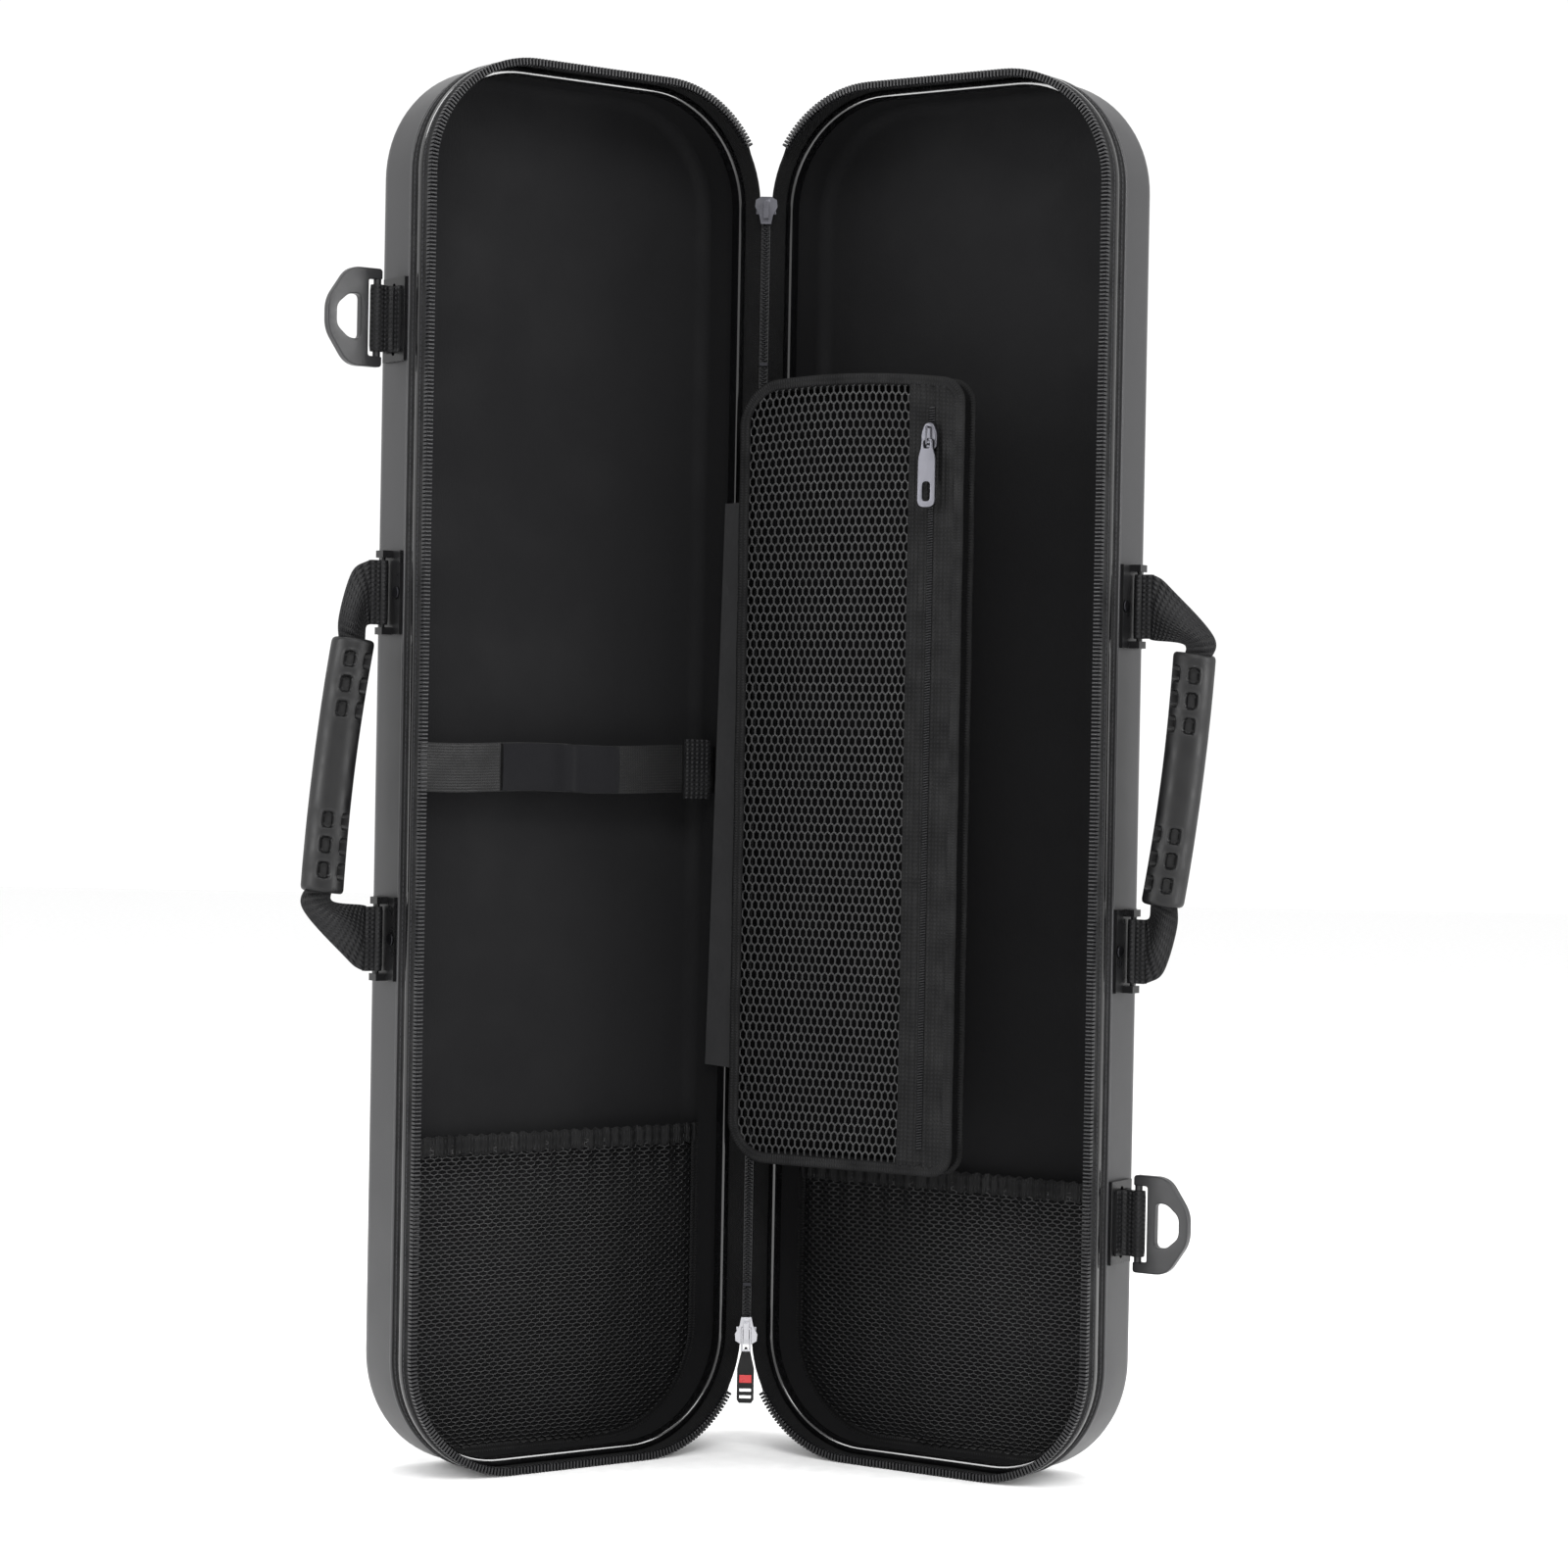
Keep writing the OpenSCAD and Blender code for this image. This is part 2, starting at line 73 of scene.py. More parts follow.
log = logging.getLogger("violin_case")
Array = np.ndarray
MM = 0.001


# ---------- sizes ----------

@dataclass(frozen=True)
class Case:
    """Driving sizes of the case, in metres, as the CAD frame has them."""

    length: float = 0.798
    half_w: float = 0.225
    half_d: float = 0.062
    corner_r: float = 0.068
    axis_gap: float = 0.0002
    wall: float = 0.0026
    lining: float = 0.0012
    back_r: float = 0.012
    lip_drop: float = 0.022
    lip_out: float = 0.001
    tape: float = 0.0012
    tooth: float = 0.004
    meet: float = 0.0002
    anchor_v: float = 0.037
    chain_end: float = 0.074
    spine_clear: float = 0.033

    @property
    def mid(self) -> float:
        """Middle of the case along its length."""
        return self.length / 2

    @property
    def floor_in(self) -> float:
        """Wall and lining together."""
        return self.wall + self.lining + 0.1 * MM


CASE = Case()


class Side(Enum):
    """The two halves of the case, as the viewer sees them."""

    LEFT = "left"
    RIGHT = "right"


@dataclass(frozen=True)
class Differences:
    """What isn't the same on both halves."""

    pocket_top: float
    pocket_seed: int
    grip_lean: float
    ring_at: float  # above the middle of the case


DIFFERENCES = {Side.LEFT: Differences(0.188, 4, math.radians(7), 0.25),
               Side.RIGHT: Differences(0.168, 9, -math.radians(7), -0.25)}


@dataclass(frozen=True)
class Placement:
    """Stands a tray up beside the hinge."""

    side: Side
    angle: float
    hinge: tuple[float, float]

    @property
    def mirrored(self) -> bool:
        """The left half is a mirror image, so its faces turn over."""
        return self.side is Side.LEFT

    def to_world(self, p: Array) -> Array:
        """Turns tray points (..., 3) into the row frame.

        Args:
            p: points with X out from the hinge, Y along the case and Z out of the tray.

        Returns:
            The same points at rest: x = hinge + u cos a + v sin a, y = hinge - u sin a + v cos a.
        """
        u, z, v = p[..., 0], p[..., 1], -p[..., 2]
        c, s = math.cos(self.angle), math.sin(self.angle)
        sign = -1.0 if self.mirrored else 1.0
        x = self.hinge[0] + sign * (u * c + v * s)
        y = self.hinge[1] - u * s + v * c
        return np.stack([x, y, z + CASE.lip_out], -1)


    def stand(self, surface: "Surface") -> "Surface":
        """A surface of tray points, in the row frame."""
        return Surface(self.to_world(surface.verts), surface.faces, surface.uvs)


def joint(name: str) -> dict:
    """The frame's joint of that name."""
    return next(j for j in frame["joints"] if j["name"] == name)


def half_angle(mount: str) -> float:
    """Angle of a half from fully flat, read from its back panel's normal."""
    found = next(m for m in frame["record"]["mounts"] if m["name"] == mount)
    return math.atan2(abs(found["axis"][0]), found["axis"][1])


HINGE = tuple(joint("case_hinge")["pos_m"][:2])
LEFT = Placement(Side.LEFT, half_angle("left_back"), HINGE)
RIGHT = Placement(Side.RIGHT, half_angle("right_back"), HINGE)


# ---------- meshes ----------

@dataclass
class Surface:
    """Vertices, faces and a UV pair for each face corner, in metres."""

    verts: Array
    faces: list
    uvs: Array

    def __add__(self, other: "Surface") -> "Surface":
        """Both surfaces in one."""
        shift = len(self.verts)
        faces = self.faces + [[i + shift for i in f] for f in other.faces]
        return Surface(np.vstack([self.verts, other.verts]), faces, np.vstack([self.uvs, other.uvs]))


def grid(points: Array, close_u: bool = False, close_v: bool = False, run: Array | None = None,
         across: Array | None = None, cap_u: bool = False, cap_v: bool = False) -> Surface:
    """Joins a grid of points (n, m, 3) into quads.

    Args:
        points: the grid; u is its first direction and v its second.
        close_u, close_v: whether the last row or column joins the first.
        run, across: UV distances along u and v, one longer than the grid where it closes.
        cap_u, cap_v: whether the two open ends along u or v are closed with one flat face each.

    Returns:
        The surface, with UVs that run on over the seam of a closed direction.
    """
    n, m = points.shape[:2]
    rows, cols = (n if close_u else n - 1), (m if close_v else m - 1)
    run = np.arange(rows + 1) * MM if run is None else run
    across = np.arange(cols + 1) * MM if across is None else across
    i, j = (a.ravel() for a in np.meshgrid(np.arange(rows), np.arange(cols), indexing="ij"))
    corners = ((0, 0), (1, 0), (1, 1), (0, 1))
    quads = np.stack([((i + a) % n) * m + (j + b) % m for a, b in corners], -1)
    uvs = np.stack([np.stack([run[i + a], across[j + b]], -1) for a, b in corners], 1).reshape(-1, 2)
    faces = quads.tolist()
    extra = []
    if cap_u:
        extra += [list(range(m - 1, -1, -1))[::-1], [(n - 1) * m + k for k in range(m)][::-1]]
    if cap_v:
        extra += [[k * m for k in range(n)][::-1], [k * m + m - 1 for k in range(n)]]
    uvs = np.vstack([uvs, np.zeros((sum(map(len, extra)), 2))]) if extra else uvs
    return Surface(points.reshape(-1, 3), faces + extra, uvs)


def add_piece(name: str, surface: Surface, finish: bpy.types.Material, body: str, smooth: float = 40.0,
              thick: float = 0.0, flat: bool = False, *, slot: str,
              node: str | None = None) -> bpy.types.Object:
    """Makes a piece from a surface and lets it ride on a body.

    Args:
        name: the piece's name.
        surface: its faces, in the row frame.
        finish: its material.
        body: the CAD body that carries it.
        smooth: edges sharper than this many degrees stay sharp.
        thick: wall thickness given to an open surface by a Solidify modifier.
        flat: whether large faces are kept flat up to their rolled edges.
        slot: not used.
        node: the CAD node that it stands for, if any.

    Returns:
        The new object.
    """
    mesh = bpy.data.meshes.new(name)
    mesh.from_pydata(surface.verts.tolist(), [], surface.faces)
    layer = mesh.uv_layers.new(name="flow")
    layer.data.foreach_set("uv", surface.uvs.astype(np.float32).ravel())
    work = bmesh.new()
    work.from_mesh(mesh)
    bmesh.ops.recalc_face_normals(work, faces=work.faces)
    work.to_mesh(mesh)
    work.free()
    mesh.materials.append(finish)
    mesh.shade_smooth()
    mesh.set_sharp_from_angle(angle=math.radians(smooth))
    piece = bpy.data.objects.new(name, mesh)
    bpy.context.scene.collection.objects.link(piece)
    if thick:
        wall = piece.modifiers.new("thickness", "SOLIDIFY")
        wall.thickness, wall.offset = thick, 0.0
    if flat:
        piece.modifiers.new("flat faces", "WEIGHTED_NORMAL").keep_sharp = True
    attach(piece, body)
    if node:
        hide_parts(node)
    log.info("%s rides on %s with %d faces", name, body, len(mesh.polygons))
    return piece


def distance(points: Array) -> Array:
    """Distance walked along points (n, d), from 0."""
    return np.concatenate([[0], np.cumsum(np.linalg.norm(np.diff(points, axis=0), axis=1))])


def arc(cx: float, cy: float, r: float, start: float, end: float, n: int) -> Array:
    """Points of an arc about (cx, cy) from start to end degrees, n + 1 of them."""
    t = np.radians(np.linspace(start, end, n + 1))
    return np.stack([cx + r * np.cos(t), cy + r * np.sin(t)], -1)


def rounded_section(width: float, height: float, r: float, n: int = 4) -> Array:
    """Closed section of a bar: a rectangle about the origin with its corners rounded to r."""
    w, h = width / 2 - r, height / 2 - r
    return np.vstack([arc(w, h, r, 0, 90, n), arc(-w, h, r, 90, 180, n),
                      arc(-w, -h, r, 180, 270, n), arc(w, -h, r, 270, 360, n)])


@dataclass(frozen=True)
class Outline:
    """The rounded outline of a half, walked once round from the outer wall."""

    case: Case = CASE
    corner_steps: int = 20
    side_step: float = 0.02

    def walk(self) -> tuple[Array, Array, Array]:
        """Positions on the wall's outer face, outward normals and the distance walked.

        Each corner is an arc about its own centre, and each side a straight run between two arcs.
        """
        c, r = self.case, self.case.corner_r
        lo_x, hi_x, lo_y, hi_y = c.axis_gap + r, c.half_w - r, r, c.length - r
        corners = [(hi_x, lo_y, -90), (hi_x, hi_y, 0), (lo_x, hi_y, 90), (lo_x, lo_y, 180)]
        spots, normals = [], []
        for k, (x, y, start) in enumerate(corners):
            t = np.radians(np.linspace(start, start + 90, self.corner_steps + 1))
            n = np.stack([np.cos(t), np.sin(t)], -1)
            p = np.array([x, y]) + r * n
            nx, ny, _ = corners[(k + 1) % 4]
            gap = np.array([nx, ny]) + r * n[-1] - p[-1]
            steps = max(2, int(round(np.linalg.norm(gap) / self.side_step)))
            run = p[-1] + gap * (np.arange(1, steps) / steps)[:, None]
            spots += [p, run]
            normals += [n, np.repeat(n[-1:], len(run), 0)]
        spots, normals = np.vstack(spots), np.vstack(normals)
        step = np.linalg.norm(np.roll(spots, -1, 0) - spots, axis=1)
        return spots, normals, np.concatenate([[0], np.cumsum(step)])

    def sweep(self, section: Array, place: Placement, closed: bool) -> Surface:
        """Carries a wall section round the outline.

        Args:
            section: points (m, 2) or (steps, m, 2), outward from the wall and Z.
            place: the half that it belongs to.
            closed: whether the section is a closed loop.

        Returns:
            The swept surface: position = wall + normal * outward, at the section's Z.
        """
        spots, normals, run = self.walk()
        all_steps = np.broadcast_to(section, (len(spots), *section.shape[-2:]))
        xy = spots[:, None, :] + normals[:, None, :] * all_steps[..., :1]
        pts = place.to_world(np.concatenate([xy, all_steps[..., 1:]], -1))
        ring = all_steps[0]
        ring = np.vstack([ring, ring[:1]]) if closed else ring
        return grid(pts, close_u=True, close_v=closed, run=run, across=distance(ring), cap_v=not closed)


def ribbon(path: Array, widths: Array, across_dir: Array, thick: float, n_side: int = 10,
           dish: Array | None = None) -> Surface:
    """A flat strap carried along a path.

    Args:
        path: centre points (n, 3).
        widths: full width at each point.
        across_dir: unit direction of the width at each point, (n, 3).
        thick: thickness of the strap.
        n_side: points over the width.
        dish: how far the middle stands off the edges at each point.

    Returns:
        A closed strap: point = centre + across * s * width / 2, with an elliptic edge.
    """
    tangent = np.gradient(path, axis=0)
    tangent /= np.linalg.norm(tangent, axis=1)[:, None]
    normal = np.cross(tangent, across_dir)
    normal /= np.linalg.norm(normal, axis=1)[:, None]
    s = np.linspace(-1, 1, n_side)
    section = np.concatenate([np.stack([s, np.full(n_side, 0.5)], -1),
                              np.stack([s[::-1], np.full(n_side, -0.5)], -1)])
    edge = np.where(np.abs(section[:, 0]) > 0.999, 0.6, 1.0)
    off = np.zeros(len(path)) if dish is None else dish
    pts = (path[:, None] + across_dir[:, None] * (section[None, :, 0] * widths[:, None] / 2)[..., None]
           + normal[:, None] * (section[None, :, 1] * edge * thick
                                + off[:, None] * (1 - section[None, :, 0] ** 2))[..., None])
    run = distance(path)
    ring = np.concatenate([section[:, 0], section[:1, 0]]) * float(widths.mean()) / 2
    return grid(pts, close_v=True, run=run, across=ring, cap_u=True)


def cross_strap(line: Array, y: float, width: float, thick: float, n_side: int = 12,
                dish: Array | None = None) -> Surface:
    """A strap that lies across the case's length: its line (n, 2) is X and Z, at height y."""
    path = np.stack([line[:, 0], np.full(len(line), y), line[:, 1]], -1)
    across = np.broadcast_to([0.0, 1.0, 0.0], path.shape)
    return ribbon(path, np.full(len(path), width), across, thick, n_side, dish)


def smooth_path(points: Array, n: int) -> Array:
    """A Catmull-Rom curve through the points (k, d), sampled n times evenly by parameter."""
    p = np.vstack([2 * points[0] - points[1], points, 2 * points[-1] - points[-2]])
    t = np.linspace(0, len(points) - 1 - 1e-9, n)
    k = t.astype(int)
    f = (t - k)[:, None]
    a, b, c, d = p[k], p[k + 1], p[k + 2], p[k + 3]
    return 0.5 * (2 * b + (c - a) * f + (2 * a - 5 * b + 4 * c - d) * f ** 2
                  + (3 * b - a - 3 * c + d) * f ** 3)


def ripple(x: Array, y: Array, seed: int, count: int = 5) -> Array:
    """Soft folds: a sum of sine waves of seeded direction and phase, about -1 to 1."""
    rng = np.random.default_rng(seed)
    total = np.zeros(np.broadcast(x, y).shape)
    for k in range(count):
        a, phase, f = rng.uniform(-0.5, 0.5), rng.uniform(0, 6.28), 1.6 ** k
        total += np.sin(f * (x * math.cos(a) + y * math.sin(a)) + phase) / 1.5 ** k
    return total / 2.2


# ---------- finishes ----------

def linear(hex_colour: str) -> tuple[float, float, float, float]:
    """An sRGB hex colour such as 1c1c1e as linear RGBA."""
    parts = [int(hex_colour[k:k + 2], 16) / 255 for k in (0, 2, 4)]
    low = [c / 12.92 if c <= 0.04045 else ((c + 0.055) / 1.055) ** 2.4 for c in parts]
    return (*low, 1.0)


def add_node(tree: bpy.types.NodeTree, kind: str, links: dict | None = None, **settings) -> bpy.types.Node:
    """Adds a node.

    Args:
        tree: the material's tree.
        kind: the node's type name.
        links: for each input, by name or number, a socket to link or a value to set.
        settings: the node's own settings.

    Returns:
        The new node.
    """
    made = tree.nodes.new(kind)
    for key, value in settings.items():
        setattr(made, key, value)
    for key, value in (links or {}).items():
        if isinstance(value, bpy.types.NodeSocket):
            tree.links.new(value, made.inputs[key])
        else:
            made.inputs[key].default_value = value
    return made


def noise(tree: bpy.types.NodeTree, where: bpy.types.NodeSocket, scale: float,
          detail: float) -> bpy.types.NodeSocket:
    """Cloudy noise with that many features to the metre."""
    links = {"Vector": where, "Scale": scale, "Detail": detail}
    return add_node(tree, "ShaderNodeTexNoise", links).outputs[0]


def raise_by(tree: bpy.types.NodeTree, shader: bpy.types.Node, height: bpy.types.NodeSocket, depth: float,
             strength: float, under: bpy.types.NodeSocket | None = None) -> None:
    """Bumps the surface by a pattern of that depth in metres, over the normal under it if there is one."""
    links = {"Height": height, "Distance": depth, "Strength": strength}
    if under:
        links["Normal"] = under
    bump = add_node(tree, "ShaderNodeBump", links)
    tree.links.new(bump.outputs[0], shader.inputs["Normal"])


def tint(tree: bpy.types.NodeTree, shader: bpy.types.Node, mask: bpy.types.NodeSocket, dark: tuple,
         light: tuple) -> None:
    """Colours the surface between two linear colours by a mask."""
    links = {"Factor": mask, 6: (*dark, 1.0), 7: (*light, 1.0)}
    mix = add_node(tree, "ShaderNodeMix", links, data_type="RGBA")
    tree.links.new(mix.outputs[2], shader.inputs["Base Color"])


@dataclass(frozen=True)
class Finish:
    """A plain surface: what it is made of, its colour and how it shines."""

    name: str
    colour: str
    rough: float
    metallic: float = 0.0
    ior: float = 1.5
    coat: float = 0.0
    sheen: float = 0.0
    spread: float = 0.25
    specular: float = 0.5
    drift: float = 0.15

    def make(self) -> bpy.types.Material:
        """Builds the material with its own pattern."""
        material = bpy.data.materials.new(self.name)
        material.use_nodes = True
        tree = material.node_tree
        shader = tree.nodes["Principled BSDF"]
        settings = {"Base Color": linear(self.colour), "Roughness": self.rough, "Metallic": self.metallic,
                    "IOR": self.ior, "Specular IOR Level": self.specular, "Coat Weight": self.coat,
                    "Coat Roughness": 0.12, "Sheen Weight": self.sheen, "Sheen Roughness": 0.4}
        for socket, value in settings.items():
            shader.inputs[socket].default_value = value
        self.pattern(tree, shader)
        return material

    def pattern(self, tree: bpy.types.NodeTree, shader: bpy.types.Node) -> None:
        """Even, lightly uneven gloss over the fine grain of a clean moulding."""
        where = add_node(tree, "ShaderNodeTexCoord").outputs["Object"]
        self.vary(tree, shader, where, 1 / 0.012)
        grain = noise(tree, where, 1 / 0.0006, 2.0)
        raise_by(tree, shader, grain, 0.00002, 1.0)

    def vary(self, tree: bpy.types.NodeTree, shader: bpy.types.Node, where: bpy.types.NodeSocket,
             scale: float) -> None:
        """Handling marks: roughness and colour drift by noise of that scale."""
        cloud = noise(tree, where, scale, 5.0)
        low, high = self.rough * (1 - self.spread), min(1.0, self.rough * (1 + self.spread))
        gloss = add_node(tree, "ShaderNodeMapRange", {"Value": cloud, "From Min": 0.3, "From Max": 0.7,
                                                      "To Min": low, "To Max": high})
        tree.links.new(gloss.outputs[0], shader.inputs["Roughness"])
        base = linear(self.colour)
        dark, light = (tuple(min(1.0, c * (1 + k * self.drift)) for c in base[:3]) for k in (-1, 1))
        tint(tree, shader, cloud, dark, light)


@dataclass(frozen=True)
class MouldedSkin(Finish):
    """ABS skin pressed over foam: satin, with a fine etched grain and a slight long wave."""

    grit: float = 0.0009
    wave: float = 0.09

    def pattern(self, tree: bpy.types.NodeTree, shader: bpy.types.Node) -> None:
        """Etched grain on top of the slow waves that a heated sheet keeps."""
        where = add_node(tree, "ShaderNodeTexCoord").outputs["Object"]
        self.vary(tree, shader, where, 1 / 0.05)
        slow = add_node(tree, "ShaderNodeBump", {"Height": noise(tree, where, 1 / self.wave, 1.0),
                                                 "Distance": 0.0012, "Strength": 0.5})
        raise_by(tree, shader, noise(tree, where, 1 / self.grit, 3.0), 0.00005, 0.7, slow.outputs[0])


@dataclass(frozen=True)
class BrushedCloth(Finish):
    """Warp-knit lining cloth with a short raised nap, glued over foam."""

    nap: float = 0.0011

    def pattern(self, tree: bpy.types.NodeTree, shader: bpy.types.Node) -> None:
        """Short fibres as stretched noise, with soft cloudy areas where the nap lies over."""
        where = add_node(tree, "ShaderNodeTexCoord").outputs["Object"]
        self.vary(tree, shader, where, 1 / 0.06)
        turned = add_node(tree, "ShaderNodeMapping", {"Vector": where, "Scale": (1.0, 1.0, 0.35)})
        fibre = add_node(tree, "ShaderNodeTexNoise", {"Vector": turned.outputs[0], "Scale": 1 / self.nap,
                                                      "Detail": 4.0, "Roughness": 0.7})
        raise_by(tree, shader, fibre.outputs[0], 0.0003, 0.8)


@dataclass(frozen=True)
class Woven(Finish):
    """Woven polyester: picks across the tape and ends along it, both from the piece's own UV map."""

    pick: float = 0.0012
    end: float = 0.0015
    depth: float = 0.00035
    slant: float = 0.0

    def pattern(self, tree: bpy.types.NodeTree, shader: bpy.types.Node) -> None:
        """Two crossed band patterns, spaced by the thread pitch; slant turns one into a twill."""
        flow = add_node(tree, "ShaderNodeUVMap", uv_map="flow").outputs[0]
        self.vary(tree, shader, flow, 1 / 0.02)
        band = 0.314159  # period of a wave texture of scale 1
        lean = add_node(tree, "ShaderNodeMapping", {"Vector": flow, "Rotation": (0, 0, self.slant)})
        picks = add_node(tree, "ShaderNodeTexWave", {"Vector": lean.outputs[0], "Scale": band / self.pick,
                                                     "Distortion": 0.6, "Detail Scale": 3.0},
                         bands_direction="X")
        ends = add_node(tree, "ShaderNodeTexWave", {"Vector": flow, "Scale": band / self.end},
                        bands_direction="Y")
        both = add_node(tree, "ShaderNodeMath", {0: picks.outputs["Fac"], 1: ends.outputs["Fac"]},
                        operation="MULTIPLY").outputs[0]
        raise_by(tree, shader, both, self.depth, 0.9)
        # painted shade in the weave's hollows and painted highlight on its crests: the colour follows the
        # bump height
        base = linear(self.colour)[:3]
        tint(tree, shader, both, tuple(c * 0.45 for c in base), tuple(min(1, c * 1.5) for c in base))


FINISHES = {
    # thermoformed ABS: satin black that greys where soft light rakes it
    "shell": MouldedSkin("thermoformed ABS skin", "1a1a1c", 0.4, spread=0.15, specular=0.5),
    # brushed nylon: nearly no gloss, so it stays black under a white surround
    "lining": BrushedCloth("brushed nylon lining", "171718", 0.95, specular=0.1, drift=0.06),
    "tape": Woven("woven polyester zip tape", "121213", 0.8, pick=0.0011, end=0.0014, slant=0.6,
                  specular=0.25),
    "teeth": Finish("moulded acetal zip teeth", "161618", 0.4, specular=0.4),
    # plasticised vinyl: deep black with sharp highlights
    "vinyl": Finish("extruded gloss vinyl piping", "050506", 0.12, coat=0.8, spread=0.5),
    "thread": Finish("bonded polyester thread", "1f1f22", 0.6, sheen=0.1, specular=0.2),
    "net": Finish("knitted nylon net", "0c0c0d", 0.45, specular=0.35),
    "pouch_net": Finish("knitted spacer mesh", "0f0f10", 0.42, specular=0.4),
    "webbing": Woven("ladder-woven polypropylene webbing", "131315", 0.6, pick=0.0034, end=0.0026,
                     depth=0.0007, specular=0.3),
    "binding": Woven("folded grosgrain binding", "111112", 0.75, pick=0.0016, end=0.003, depth=0.0004,
                     specular=0.2),
    "strap": Woven("satin-faced woven strap", "0d0d0e", 0.5, pick=0.0012, end=0.0016, depth=0.0002,
                   specular=0.25),
    "zip_cloth": Woven("tight knit beside the pouch's zip", "121213", 0.75, pick=0.0021, end=0.0024,
                       depth=0.0005, specular=0.2),
    "backing": Woven("plain-woven pouch cloth", "0b0b0c", 0.9, pick=0.0012, end=0.0012, depth=0.0003,
                     specular=0.08),
    "hook": BrushedCloth("hook-and-loop tape", "151517", 0.95, sheen=0.05, nap=0.0008, specular=0.1),
    "batten": Finish("calendered grey polypropylene sheet", "363637", 0.65, specular=0.2, drift=0.05),
    "fitting": Finish("injection-moulded nylon", "0f0f10", 0.32, specular=0.4),
    "ring": Finish("glass-filled nylon", "161618", 0.36),
    "rubber": Finish("moulded matt rubber", "0c0c0d", 0.5, specular=0.3, drift=0.08),
    "gunmetal": Finish("gunmetal-plated zinc", "55555a", 0.36, metallic=1.0),
    "silver": Finish("nickel-plated zinc", "a9a9ad", 0.24, metallic=1.0),
    "inlay": Finish("red enamel inlay", "c0161c", 0.3, coat=0.4),
    "rivet": Finish("blackened steel rivet", "2e2e31", 0.35, metallic=1.0),
}


# ---------- parts of a half ----------

Paint = dict[str, bpy.types.Material]


def wall_profile(inset: float, top: float) -> Array:
    """The wall from height top down round its foot to the back, set in from the outer face by inset."""
    c = CASE
    foot = arc(-c.back_r, -c.half_d + c.back_r, c.back_r - inset, 0, -90, 8)
    return np.vstack([[[-inset, top]], foot, [[-c.back_r - 8 * MM, -c.half_d + inset]]])


def rounded(points: Array, r: float | Array, n: int = 3) -> Array:
    """Closed polygon with each corner cut back by r, or by its own r, and rounded by a quadratic curve."""
    before, after = np.roll(points, 1, 0) - points, np.roll(points, -1, 0) - points
    la, lb = (np.linalg.norm(d, axis=1)[:, None] for d in (before, after))
    a = points + before / la * np.minimum(r, la * 0.45)
    b = points + after / lb * np.minimum(r, lb * 0.45)
    t = np.linspace(0, 1, n + 1)[None, :, None]
    curve = (1 - t) ** 2 * a[:, None] + 2 * t * (1 - t) * points[:, None] + t ** 2 * b[:, None]
    return curve.reshape(-1, 2)


def scatter(shape: Array, faces: list, spots: Array, axes: Array) -> Surface:
    """Puts a small shape at every spot.

    Args:
        shape: its points (k, 3).
        faces: its faces, as lists of point numbers.
        spots: places (n, 3).
        axes: the three unit directions at each place, (n, 3, 3), in rows.

    Returns:
        All copies: point = spot + x * axis 0 + y * axis 1 + z * axis 2.
    """
    verts = spots[:, None] + np.einsum("kc,ncd->nkd", shape, axes)
    n, k = verts.shape[:2]
    index = [(np.arange(n)[:, None] * k + np.array(f)[None]).tolist() for f in faces]
    uv = np.vstack([np.tile(shape[f][:, :2], (n, 1)) for f in map(list, faces)])
    return Surface(verts.reshape(-1, 3), [g for group in index for g in group], uv)


def block(lx: float, ly: float, lz: float, chamfer: float) -> tuple[Array, list]:
    """A small box about the origin with its upper edges drawn in, as ten-odd faces."""
    x, y, z, c = lx / 2, ly / 2, lz / 2, chamfer
    low = [(-x, -y, -z), (x, -y, -z), (x, y, -z), (-x, y, -z)]
    mid = [(a, b, z - c) for a, b, _ in low]
    top = [(-x + c, -y + c, z), (x - c, -y + c, z), (x - c, y - c, z), (-x + c, y - c, z)]
    sides = [[i, (i + 1) % 4, 4 + (i + 1) % 4, 4 + i] for i in range(4)]
    rims = [[4 + i, 4 + (i + 1) % 4, 8 + (i + 1) % 4, 8 + i] for i in range(4)]
    return np.array(low + mid + top), [[3, 2, 1, 0], *sides, *rims, [8, 9, 10, 11]]


@dataclass
class HalfPart:
    """Something that is made once for each half."""

    place: Placement
    paint: Paint

    @property
    def name(self) -> str:
        """left or right."""
        return self.place.side.value

    def add(self, name: str, surface: Surface, finish: str, slot: str, node: str | None = None,
            body: str = "half", **shape) -> bpy.types.Object:
        """Makes a piece of this half, whose names all start with left or right.

        Args:
            name: the piece's name, without its side.
            surface: its faces, in the row frame.
            finish, slot: its material, and a slot name that add_piece does not use.
            node, body: the CAD node that it stands for and the body that carries it, without their side.
            shape: settings of add_piece.

        Returns:
            The new object.
        """
        side = self.name
        return add_piece(f"{side}_{name}", surface, self.paint[finish], f"{side}_{body}", slot=slot,
                         node=node and f"{side}_{node}", **shape)


